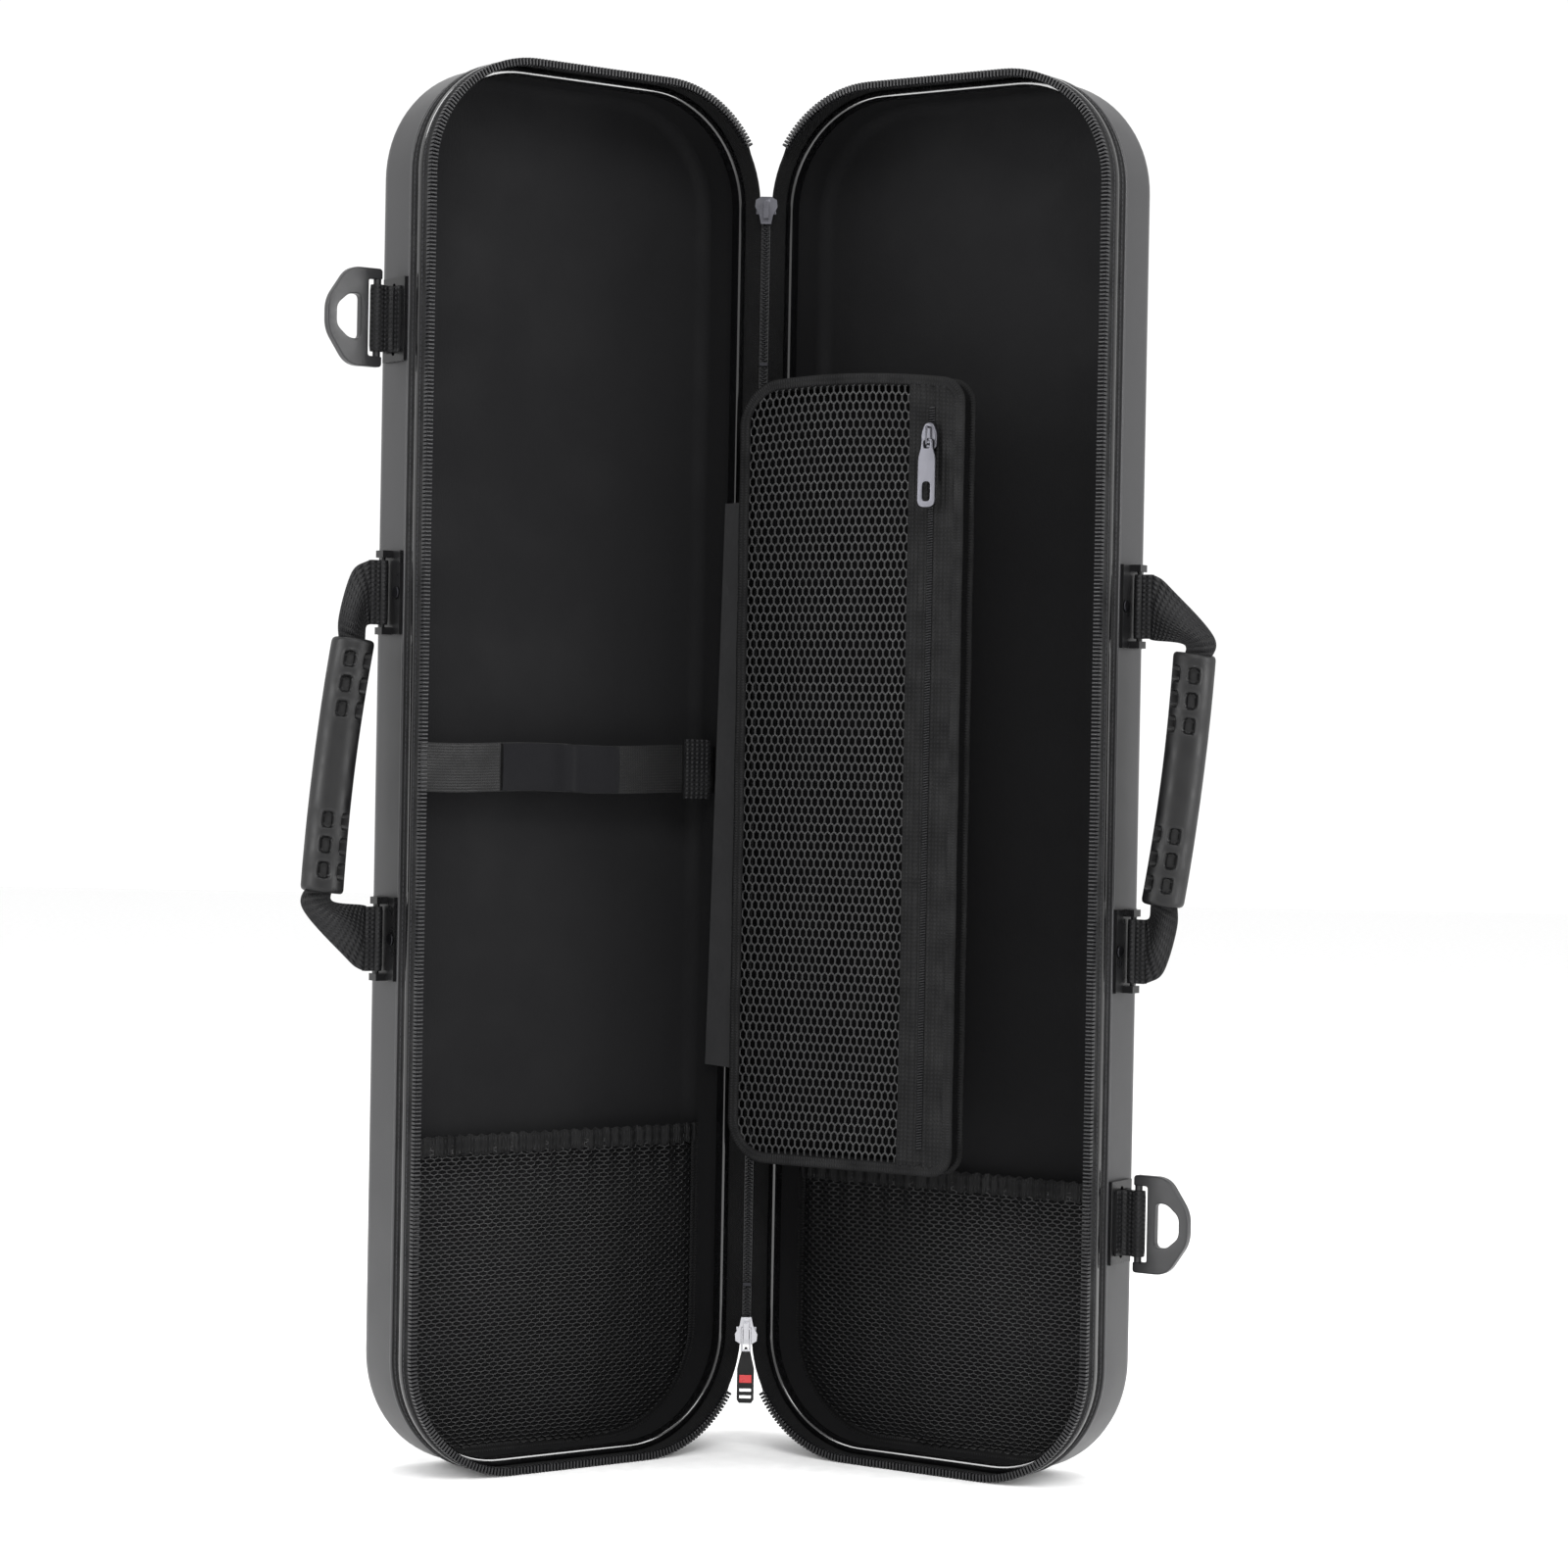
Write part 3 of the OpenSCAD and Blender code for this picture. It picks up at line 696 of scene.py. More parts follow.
@dataclass
class HalfShell(HalfPart):
    """Moulded shell of one half with its cloth lining."""

    def build(self) -> None:
        """Makes the skin and the lining that is glued inside it."""
        c = CASE
        lip = [(-c.wall, -c.lip_drop), (0.0004, -c.lip_drop), (0.0008, -c.lip_drop - 0.0002),
               (c.lip_out, -c.lip_drop - 0.0006), (c.lip_out, -c.lip_drop - 0.0021),
               (0.0007, -c.lip_drop - 0.0025), (0.0, -c.lip_drop - 0.0028)]
        outer = np.vstack([lip, wall_profile(0, -c.lip_drop - 0.004)])
        inner = wall_profile(c.wall, -c.lip_drop - 0.003)[::-1]
        skin = Outline().sweep(np.vstack([inner, outer]), self.place, closed=False)
        self.add("shell_skin", skin, "shell", "shell", "shell", smooth=50)
        top = -c.lip_drop - 0.005
        out, into = wall_profile(c.wall + 0.1 * MM, top), wall_profile(c.floor_in, top)[::-1]
        cloth = Outline().sweep(np.vstack([into, out]), self.place, closed=False)
        self.add("cloth_lining", cloth, "lining", "lining", "lining", smooth=60)


@dataclass
class Rim(HalfPart):
    """Zip tape, teeth, piping, stitches and inner binding round the mouth of one half."""

    pitch: float = 0.0022
    stitch: float = 0.0031

    def on_spine(self, low: float, high: float, step: Outline) -> Array:
        """Which steps of the walk run along the spine between two heights."""
        spots, normals, _ = step.walk()
        return (normals[:, 0] < -0.2) & (spots[:, 1] > low) & (spots[:, 1] < high)

    def build(self) -> None:
        """Makes the soft and toothed parts of the rim."""
        c, fine = CASE, Outline(side_step=0.006)
        self.tape(fine)
        self.teeth()
        self.stitches()
        drop = -c.lip_drop + 0.007
        bead = np.array([(-0.0004, drop), (0.0005, drop + 0.0004), (0.0009, drop + 0.0016),
                         (0.0005, drop + 0.0028), (-0.0004, drop + 0.0032)])
        self.add("gloss_piping", fine.sweep(bead, self.place, True), "vinyl", "binding", "rim_piping")
        b, t, d = 0.0065, c.tape, c.lip_drop
        hook = rounded(np.array([(-t, -d), (-t, -d + 0.003), (-0.0026, -d + 0.004), (-b + 0.0008, -d + 0.004),
                                 (-b, -d + 0.0022), (-b, -d - 0.0034), (-b + 0.0008, -d - 0.0046),
                                 (-c.wall, -d - 0.0046), (-c.wall, -d)]), 0.0009)
        self.add("gloss_binding", fine.sweep(hook, self.place, True), "vinyl", "binding",
                 "inner_binding")

    def tape(self, fine: Outline) -> None:
        """Woven tape with two raised sewn ridges; along the spine it runs up to the chain."""
        c = CASE
        top = np.full(len(fine.walk()[0]), -c.tooth - c.meet)
        top[self.on_spine(c.spine_clear, c.length - c.spine_clear, fine)] = -0.0054
        top[self.on_spine(c.chain_end + 0.006, c.length - c.chain_end - 0.006, fine)] = -0.0027
        d, m = c.lip_drop, 0.0
        rows = [(0.0, -d), (m, -0.0192), (0.0006, -0.0187), (0.0006, -0.0178), (m, -0.0173), (m, -0.0098),
                (0.0004, -0.0092), (0.0004, -0.0082), (m, -0.0077), (m, None), (-c.tape, None), (-c.tape, -d)]
        section = np.stack([np.stack([np.full(len(top), x), top if z is None else np.full(len(top), z)], -1)
                            for x, z in rows], 1)
        self.add("woven_tape", fine.sweep(section, self.place, True), "tape", "tape", "zip_tape")

    def along(self, pitch: float) -> tuple[Array, Array]:
        """Places and outward normals every pitch of the walk round the rim."""
        spots, normals, run = Outline(side_step=0.01).walk()
        count = int(run[-1] / pitch)
        s = np.arange(count) * run[-1] / count
        loop_p, loop_n = np.vstack([spots, spots[:1]]), np.vstack([normals, normals[:1]])
        p = np.stack([np.interp(s, run, loop_p[:, k]) for k in (0, 1)], -1)
        n = np.stack([np.interp(s, run, loop_n[:, k]) for k in (0, 1)], -1)
        return p, n / np.linalg.norm(n, axis=1)[:, None]

    def instance(self, shape: Array, faces: list, out: float, z: float, spots: Array,
                 normals: Array) -> Surface:
        """Copies a shape round the rim: X outward, Y along the rim, Z towards the meeting plane."""
        here = np.concatenate([spots + normals * out, np.full((len(spots), 1), z)], -1)
        axes = np.zeros((len(spots), 3, 3))
        axes[:, 0, :2] = normals
        axes[:, 1, 0], axes[:, 1, 1] = -normals[:, 1], normals[:, 0]
        axes[:, 2, 2] = 1
        flat = scatter(shape, faces, here, axes)
        return self.place.stand(flat)

    @staticmethod
    def clear_of_chain(spots: Array, normals: Array) -> Array:
        """Which places round the rim aren't where the spine's chain is meshed."""
        low, high = CASE.spine_clear, CASE.length - CASE.spine_clear
        return ~((normals[:, 0] < -0.2) & (spots[:, 1] > low) & (spots[:, 1] < high))

    def teeth(self) -> None:
        """Moulded teeth at the zip's real pitch, left out where the spine's chain is meshed."""
        spots, normals = self.along(self.pitch)
        keep = self.clear_of_chain(spots, normals)
        shape, faces = block(0.0043, 0.0013, 0.0038, 0.0004)
        teeth = self.instance(shape, faces, -0.0014, -0.0022, spots[keep], normals[keep])
        self.add("moulded_teeth", teeth, "teeth", "teeth", "zip_teeth", smooth=20)

    def stitches(self) -> None:
        """Two rows of lockstitch along the tape's ridges."""
        spots, normals = self.along(self.stitch)
        keep = self.clear_of_chain(spots, normals)
        shape, faces = block(0.0005, 0.0021, 0.0006, 0.00015)
        rows = [self.instance(shape, faces, 0.0005, z, spots[keep], normals[keep])
                for z in (-0.01825, -0.0087)]
        self.add("tape_stitches", rows[0] + rows[1], "thread", "tape", smooth=20)


# ---------- nets and soft parts ----------

def hex_net(width: float, height: float, pitch: float, row: float, strand: float,
            inside: Array | None = None) -> tuple[Array, list, Array]:
    """A staggered net of six-sided holes, flat, from its lower left corner.

    Args:
        width, height: size of the net.
        pitch: distance between holes in a row.
        row: distance between rows; each is set half a pitch along from the last.
        strand: width of the threads between holes.
        inside: function of cell centres (x, y) that says which cells to keep.

    Returns:
        Points (n, 2), faces, and 1 for points on the threads' crests, 0 at the holes' edges.
    """
    i, j = (a.ravel() for a in np.meshgrid(np.arange(int(width / pitch)), np.arange(int(height / row)),
                                           indexing="ij"))
    dx, dy = np.array([0, 1, 1, 0, -1, -1]), np.array([2, 1, -1, -2, -1, 1])
    centre = np.stack([(i + 0.5 + (j % 2) / 2) * pitch, (j + 0.7) * row], -1)
    if inside is not None:
        keep = inside(centre[:, 0], centre[:, 1])
        i, j, centre = i[keep], j[keep], centre[keep]
    keys = np.stack([2 * i[:, None] + j[:, None] % 2 + dx, 3 * j[:, None] + dy], -1).reshape(-1, 2)
    unique, which = np.unique(keys, axis=0, return_inverse=True)
    which = which.reshape(-1, 6)
    crest = np.stack([(unique[:, 0] + 1) * pitch / 2, (unique[:, 1] / 3 + 0.7) * row], -1)
    shape = np.stack([dx * (pitch - strand) / 2, dy * (row - strand * 0.75) / 3], -1)
    hole = (centre[:, None] + shape[None]).reshape(-1, 2)
    inner = np.arange(len(hole)).reshape(-1, 6) + len(crest)
    quads = [np.stack([which[:, e], which[:, (e + 1) % 6], inner[:, (e + 1) % 6], inner[:, e]], -1)
             for e in range(6)]
    lift = np.concatenate([np.ones(len(crest)), np.zeros(len(hole))])
    return np.vstack([crest, hole]), np.vstack(quads).tolist(), lift


def flow_uv(points: Array, faces: list) -> Array:
    """UVs in metres straight from flat points, one for each face corner."""
    return points[np.array([k for f in faces for k in f])]


def smoothstep(x: Array, low: float, high: float) -> Array:
    """0 below low, 1 above high and a smooth S between."""
    t = np.clip((x - low) / (high - low), 0, 1)
    return t * t * (3 - 2 * t)


@dataclass
class NetPocket(HalfPart):
    """Net pocket at the foot of a half, with a gathered elastic hem."""

    top: float
    inset: float = 0.0046
    room: float = 0.0117
    sewn: float = 0.0088
    hem: float = 0.012
    cloth_share: float = 0.62
    seed: int = 4

    def edge_distance(self, u: Array, y: Array) -> Array:
        """Distance in from the pocket's sewn edge: sides, foot and the two rounded corners."""
        c, i = CASE, self.inset
        r = c.corner_r - i
        du = np.minimum(u - c.axis_gap - i, c.half_w - i - u)
        dy = y - i
        corner = (du < r) & (dy < r)
        curved = r - np.hypot(r - du, r - dy)
        return np.where(corner, curved, np.minimum(du, dy))

    def depth(self, u: Array, y: Array, gather: float = 1.0) -> Array:
        """Height of the net over the lining: sewn to the wall above its foot, it bows out within 16 mm."""
        d = np.clip(self.edge_distance(u, y), 0, 1)
        held = self.sewn / self.room
        rise = held + (1 - held) * (1 - (1 - np.clip(d / 0.016, 0, 1)) ** 2.4)
        slack = 0.0009 * ripple(u / 0.018, y / 0.03, self.seed)
        pleat = 0.0008 * np.sin(u / 0.0021 + np.sin(u / 0.02))
        pleat = pleat * smoothstep(y, self.top - 0.05, self.top - 0.008)
        return rise * (self.room + slack + gather * pleat)

    def to_world(self, u: Array, y: Array, lift: Array) -> Array:
        """Points that lie over the lining by lift."""
        floor = -CASE.half_d + CASE.floor_in
        return self.place.to_world(np.stack([u, y, floor + lift], -1))

    def build(self) -> None:
        """Makes the net, its hem and the tape that sews it down."""
        c = CASE
        x0, y0 = c.axis_gap + self.inset, self.inset
        width, height = c.half_w - self.inset - x0, self.top - self.hem * 0.5 - y0
        flat, faces, crest = hex_net(width, height, 0.0056, 0.0023, 0.0009,
                                     lambda x, y: self.edge_distance(x + x0, y + y0) > 0.0008)
        u, y = flat[:, 0] + x0, flat[:, 1] + y0
        net = Surface(self.to_world(u, y, self.depth(u, y) + 0.0002 * crest), faces, flow_uv(flat, faces))
        piece = self.add("pocket_net", net, "net", "net", "mesh_pocket", smooth=180, thick=0.0004)
        width * height * self.cloth_share
        self.elastic(x0, width)
        self.seam()

    def elastic(self, x0: float, width: float) -> None:
        """The hem: a band that its elastic draws into fine pleats."""
        s = np.linspace(0, 1, 320)
        v = np.linspace(0, 2 * math.pi, 14, endpoint=False)
        u = x0 + width * s[:, None] + 0 * v
        y = self.top - self.hem / 2 + self.hem / 2 * np.sign(np.cos(v)) * np.abs(np.cos(v)) ** 0.6
        y = y[None] + 0.0006 * np.sin(s[:, None] * 190)
        pleat = 0.0007 * np.sin(s[:, None] * width / 0.0011 + 1.5 * np.sin(s[:, None] * 40))
        thick = 0.0011 * np.sign(np.sin(v)) * np.abs(np.sin(v)) ** 0.6
        lift = self.depth(u, np.broadcast_to(y, u.shape), 0.4) + thick[None] + pleat * (np.sin(v) > 0)[None]
        pts = self.to_world(u, np.broadcast_to(y, u.shape), lift)
        band = grid(pts, close_v=True, run=s * width, across=np.linspace(0, 2 * self.hem, 15), cap_u=True)
        self.add("elastic_hem", band, "binding", "net", "pocket_hem", smooth=70)

    def seam(self) -> None:
        """Narrow tape that sews the net's edge to the lining, up both sides and round the foot."""
        c, r = CASE, CASE.corner_r - self.inset
        lo, hi = c.axis_gap + self.inset, c.half_w - self.inset
        foot = self.inset
        left = arc(lo + r, foot + r, r, 180, 270, 20)
        right = arc(hi - r, foot + r, r, 270, 360, 20)
        up = np.linspace(foot + r, self.top, 18)[1:]
        line = np.vstack([np.stack([np.full(len(up), lo), up], -1)[::-1], left, right,
                          np.stack([np.full(len(up), hi), up], -1)])
        height = -c.half_d + c.floor_in + self.sewn + 0.0007
        path = np.concatenate([line, np.full((len(line), 1), height)], -1)
        tangent = np.gradient(path, axis=0)
        tangent /= np.linalg.norm(tangent, axis=1)[:, None]
        across = np.stack([-tangent[:, 1], tangent[:, 0], np.zeros(len(path))], -1)
        strip = ribbon(path + across * 0.001, np.full(len(path), 0.006), across, 0.0009)
        self.add("pocket_seam", self.place.stand(strip), "binding", "net", smooth=60)


@dataclass
class HoldDownStrap(HalfPart):
    """Flat strap across the left half, with a loose pleat and a hook-and-loop patch."""

    width: float = 0.028
    depth: float = 0.034

    def build(self) -> None:
        """Makes the strap, its patch, the wider keeper near the hinge and the two sewn ends."""
        c = CASE
        lo, hi = c.axis_gap + c.floor_in + 0.0002, c.half_w - c.floor_in - 0.0002
        s = np.linspace(0, 1, 120)
        u = lo + (hi - lo) * s
        fold = np.exp(-((u - 0.112) / 0.006) ** 2) * 0.0045
        z = -self.depth + fold - 0.0012 * np.sin(math.pi * s)
        end = np.array([[lo + 0.0008, -self.depth - 0.011], [lo + 0.0009, -self.depth - 0.004]])
        last = np.array([[hi - 0.0009, -self.depth - 0.004], [hi - 0.0008, -self.depth - 0.011]])
        flat = np.vstack([end, np.stack([u[2:-2], z[2:-2]], -1), last])
        self.band("left_strap_webbing", flat, self.width, 0.0016, "strap", "webbing", 0.0, "left_strap")
        near = (u > 0.074) & (u < 0.155)
        lifted = z[near] + 0.0016 + 0.0022 * np.exp(-((u[near] - 0.080) / 0.004) ** 2)
        self.band("left_strap_hook_patch", np.stack([u[near], lifted], -1), self.width - 0.001, 0.0012,
                  "hook", "webbing", 0.0004, "left_strap_patch")
        keep = (u > 0.0098) & (u < 0.030)
        self.band("left_strap_keeper", np.stack([u[keep], z[keep] + 0.0018], -1), self.width + 0.007, 0.0018,
                  "webbing", "webbing", 0.0, None)

    def band(self, name: str, line: Array, width: float, thick: float, finish: str, slot: str, dish: float,
             node: str | None) -> None:
        """One flat piece of the strap along a line in the half's cross-section.

        Args:
            name: the piece's name.
            line: points (n, 2) of X and Z.
            width, thick: size of the band's section.
            finish, slot: its material, and a slot name that add_piece does not use.
            dish: how far its middle bows out.
            node: the CAD node that it stands for, if any.
        """
        strip = cross_strap(line, CASE.mid, width, thick, n_side=10, dish=np.full(len(line), dish))
        strip.verts[:, 1] += 0.0006 * np.sin(strip.verts[:, 0] / 0.017)
        piece = add_piece(name, self.place.stand(strip), self.paint[finish], "left_half", smooth=60,
                          slot=slot, node=node)


# ---------- handles and rings ----------

@dataclass
class Handle(HalfPart):
    """Carrying handle: a holed rubber grip on webbing that loops round two anchor bars."""

    lean: float
    out: float = 0.034
    length: float = 0.142
    radius: float = 0.012
    bow: float = 0.0022
    pitch: float = 0.194
    bar: float = 0.0066
    web: float = 0.036
    dimple_rows: tuple[float, ...] = (0.012, 0.026, 0.040)  # in from the grip's ends
    dimple_turns: tuple[int, ...] = (62, 118, 242, 298)  # degrees round the grip
    dimple_half: tuple[float, float] = (0.0046, 16.5)  # metres along, degrees round
    dimple_depth: float = 0.0034

    def from_grip(self, x: Array, y: Array, z: Array) -> Array:
        """Grip coordinates to the tray frame: turned by the lean about the grip's middle."""
        c, s = math.cos(self.lean), math.sin(self.lean)
        u = CASE.half_w + self.out + x * c - y * s
        return np.stack([u, CASE.mid + x * s + y * c, -CASE.anchor_v + z], -1)

    def build(self) -> None:
        """Makes the grip and the four pieces of webbing."""
        self.grip()
        tails = None
        for side in (-1, 1):
            for made in (self.tail(side), self.loop(side)):
                tails = made if tails is None else tails + made
        self.add("handle_strap", tails, "webbing", "webbing", "handle_webbing", body="handle",
                 smooth=60)

    def grip(self) -> None:
        """Bowed grip with two columns of dimples near each end, on its front and its back."""
        half = self.length / 2
        y = np.linspace(-half, half, 230)
        a = np.linspace(0, 2 * math.pi, 120, endpoint=False)
        yy, aa = np.meshgrid(y, a, indexing="ij")
        end = np.clip((np.abs(yy) - half + 0.003) / 0.003, 0, 1)
        r = self.radius - 0.0016 * (1 - np.sqrt(np.clip(1 - end ** 2, 0, 1)))
        r = r - 0.0003 * np.cos(yy / half * 1.2) ** 2
        tall, wide = self.dimple_half
        for row, side, turn in product(self.dimple_rows, (-1, 1), self.dimple_turns):
            s = (yy - side * (half - row)) / tall
            t = ((np.degrees(aa) - turn + 180) % 360 - 180) / wide
            q = (s ** 4 + t ** 4) ** 0.25
            r -= self.dimple_depth * (1 - smoothstep(q, 0.86, 1.02))
            r += 0.0003 * np.exp(-((q - 1.14) / 0.1) ** 2)
        x = r * np.cos(aa) + self.bow * (1 - (yy / half) ** 2) - self.bow / 2
        pts = self.place.to_world(self.from_grip(x, yy, r * np.sin(aa)))
        tube = grid(pts, close_v=True, run=y + half, across=np.linspace(0, 0.075, 121), cap_u=True)
        self.add("rubber_grip", tube, "rubber", "rubber", "handle_grip", body="handle", smooth=60)

    def tail(self, side: int) -> Surface:
        """Webbing from an anchor into the grip: it fans from its full width to the grip's bore."""
        bar, core, end = CASE.half_w + self.bar, 0.0078, self.length / 2
        y, w = CASE.mid + side * self.pitch / 2, self.web / 2

        def at(px: float, py: float) -> Array:
            """A point of the grip, as (u, y)."""
            return self.from_grip(np.array([px]), np.array([py]), np.zeros(1))[0, :2]

        outer = np.array([[bar + 0.003, y + side * w], [bar + 0.010, y + side * (w - 0.001)],
                          [bar + 0.019, y + side * (w - 0.008)], at(core + 0.002, side * (end + 0.010)),
                          at(core, side * (end - 0.006))])
        inner = np.array([[bar + 0.003, y - side * w], [bar + 0.006, y - side * w],
                          [bar + 0.009, y - side * (w + 0.001)], at(-core, side * (end + 0.004)),
                          at(-core, side * (end - 0.006))])
        n, k = 60, 15
        a, b = smooth_path(outer, n), smooth_path(inner, n)
        t = np.linspace(0, 1, k)[None, :, None]
        mid = a[:, None] * (1 - t) + b[:, None] * t
        s, f = np.linspace(0, 1, n)[:, None], t[..., 0]
        fold = (0.0022 * np.sin(math.pi * s) ** 2 * np.sin(math.pi * (2 * f - 0.4))
                + 0.0016 * s * (2 * f - 1) ** 2)
        layers = []
        for offset in (0.0009, -0.0009):
            z = -CASE.anchor_v + fold + offset * (1 - 0.5 * (np.abs(2 * f - 1) > 0.99))
            layers.append(np.concatenate([mid, z[..., None]], -1))
        pts = np.concatenate([layers[0], layers[1][:, ::-1]], 1)
        run = distance(mid[:, k // 2])
        ring = np.concatenate([np.linspace(0, self.web, k), np.linspace(self.web, 0, k), [0]])
        return grid(self.place.to_world(pts), close_v=True, run=run, across=ring, cap_u=True)

    def loop(self, side: int) -> Surface:
        """Turn of webbing round the anchor bar, open towards the grip."""
        bar, y = CASE.half_w + self.bar, CASE.mid + side * self.pitch / 2
        turn = arc(bar, -CASE.anchor_v, 0.0027, 40, 320, 28)
        ends = [[bar + 0.008, -CASE.anchor_v + lift] for lift in (0.0011, -0.0011)]
        line = smooth_path(np.vstack([ends[0], turn, ends[1]]), 60)
        return self.place.stand(cross_strap(line, y, self.web, 0.0014))


@dataclass
class RingTab(HalfPart):
    """Webbing tab that holds a D-ring's bar to its plate."""

    offset: float
    width: float = 0.037

    def build(self) -> None:
        """Makes one strip: flat on the plate, out round the bar, back and flat on the plate again."""
        c = CASE
        w, z0 = c.half_w, -c.anchor_v
        turn = arc(w + 0.013, z0, 0.0033, -150, 150, 24)
        low = np.array([[w + 0.0032, z0 - 0.0085], [w + 0.0033, z0 - 0.004], [w + 0.0046, z0 - 0.0015],
                        [w + 0.0085, z0 - 0.0012]])
        line = smooth_path(np.vstack([low, turn, (low * [1, -1] + [0, 2 * z0])[::-1]]), 90)
        world = self.place.stand(cross_strap(line, c.mid + self.offset, self.width, 0.0015))
        self.add("ring_tab", world, "webbing", "webbing", "ring_webbing", smooth=60)


# ---------- pouch ----------

@dataclass
class Pouch:
    """Slim net pouch that hinges beside the spine, bound with woven tape and closed by a zip."""

    paint: Paint
    width: float = 0.146
    height: float = 0.456
    thick: float = 0.015
    radius: float = 0.025
    base: float = 0.172
    zip_at: float = 0.128
    net_end: float = 0.117
    stands_off: float = math.radians(3)
    cloth_share: float = 0.66
    body: str = "pouch"

    def to_world(self, p: Array, q: Array, z: Array) -> Array:
        """Pouch coordinates to the row frame: P across, Q towards the back and Z up from its foot."""
        hinge = LEFT.to_world(np.array([0.0104, 0.0, 0.003]))
        a = RIGHT.angle - self.stands_off
        p, q, z = np.broadcast_arrays(p, q, z)
        x = hinge[0] + p * math.cos(a) + q * math.sin(a)
        y = hinge[1] - p * math.sin(a) + q * math.cos(a)
        return np.stack([x, y, z + self.base + CASE.lip_out], -1)

    def outline(self, inset: float, steps: int = 14) -> Array:
        """Closed outline (P, Z) of the page, set in; the top is slightly arched."""
        lo, hi, r = 0.0018 + inset, 0.0018 + self.width - inset, max(self.radius - inset, 0.002)
        outer = max(0.013 - inset, 0.002)
        h = self.height - inset
        spots = [arc(hi - outer, inset + outer, outer, -90, 0, steps),
                 arc(hi - outer, h - outer, outer, 0, 90, steps),
                 arc(lo + r, h - r, r, 90, 180, steps), arc(lo + r, inset + r, r, 180, 270, steps)]
        ring = np.vstack(spots)
        closed = np.vstack([ring, ring[:1]])
        run = distance(closed)
        fine = np.unique(np.concatenate([run, np.arange(0, run[-1], 0.008)]))[:-1]
        p, z = np.interp(fine, run, closed[:, 0]), np.interp(fine, run, closed[:, 1])
        return np.stack([p, self.arch(p, z)], -1)

    def arch(self, p: Array, z: Array) -> Array:
        """Lowers the two upper corners a little, so that the top edge bows."""
        across = (p - 0.070) / 0.076
        return z - 0.0055 * across ** 2 * smoothstep(z, self.height * 0.72, self.height)

    def slack(self, p: Array, z: Array) -> Array:
        """How far the front net falls back between its edges: soft upright folds, most of them low down."""
        s = np.clip((p - 0.006) / (self.width - 0.01), 0, 1)
        t = np.clip(z / self.height, 0, 1)
        pinned = np.minimum(1, 6 * np.minimum(s, 1 - s)) * np.minimum(1, 12 * np.minimum(t, 1 - t))
        hang = 0.0032 * np.sin(math.pi * s)
        folds = 0.0011 * ripple(p / 0.021, z / 0.12, 11) + 0.0007 * ripple(p / 0.03, z / 0.035, 5)
        return pinned * (hang + folds)

    def build(self) -> None:
        """Makes the back, the net, the walls, the bindings and the zip."""
        self.back()
        self.net()
        self.zip_panel()
        self.walls()
        self.coil()
        self.flap()

    def back(self) -> None:
        """Plain cloth back: rings that shrink towards the middle, with a shallow billow."""
        rings = []
        for inset in (0.0035, 0.010, 0.022, 0.036, 0.052, 0.066):
            ring = self.outline(0.0035)
            centre = np.array([0.0018 + self.width / 2, self.height / 2])
            scale = 1 - (inset - 0.0035) / 0.0725
            p, z = (centre + (ring - centre) * [scale, 0.35 + 0.65 * scale]).T
            billow = 0.0006 * ripple(p / 0.03, z / 0.07, 8) * (1 - scale)
            rings.append(self.to_world(p, -0.0008 + billow - 0.0004, z))
        pts = np.stack(rings, 1)
        cloth = grid(pts, close_u=True, cap_v=True)
        half = len(cloth.faces) - 2
        cloth = Surface(cloth.verts, cloth.faces[:half] + cloth.faces[-1:], np.zeros((0, 2)))
        uv = self.face_uv(cloth)
        piece = add_piece("pouch_cloth_back", Surface(cloth.verts, cloth.faces, uv),
                          self.paint["backing"], self.body, smooth=180, thick=0.0009, slot="binding",
                          node="pouch_back")
        self.width - 0.007
        0.98 * (self.width - 0.007) * (self.height - 0.007)

    @staticmethod
    def face_uv(surface: Surface) -> Array:
        """UVs read straight off the world's height and width."""
        index = np.array([k for f in surface.faces for k in f])
        return surface.verts[index][:, [0, 2]]

    def net(self) -> None:
        """Front net with upright oblong holes, hanging in soft folds between its bound edges."""
        inset, w, h = 0.0045, self.net_end - 0.0063, self.height - 0.009
        lo, r = 0.0018 + inset, self.radius - inset

        def inside(x: Array, y: Array) -> Array:
            """Whether a cell lies within the two rounded corners of the hinge side."""
            dx, dy = r - x, r - np.minimum(y, h - y)
            return ~((dx > 0) & (dy > 0) & (np.hypot(dx, dy) > r))

        flat, faces, crest = hex_net(w, h, 0.0042, 0.00505, 0.00125, inside)
        p, z = flat[:, 0] + lo, self.arch(flat[:, 0] + lo, flat[:, 1] + inset)
        q = -self.thick + 0.0006 + self.slack(p, z) - 0.0003 * crest
        piece = add_piece("pouch_front_net",
                          Surface(self.to_world(p, q, z), faces, flow_uv(flat, faces)),
                          self.paint["pouch_net"], self.body, smooth=180, thick=0.0006, slot="net",
                          node="pouch_net")
        w * h * self.cloth_share

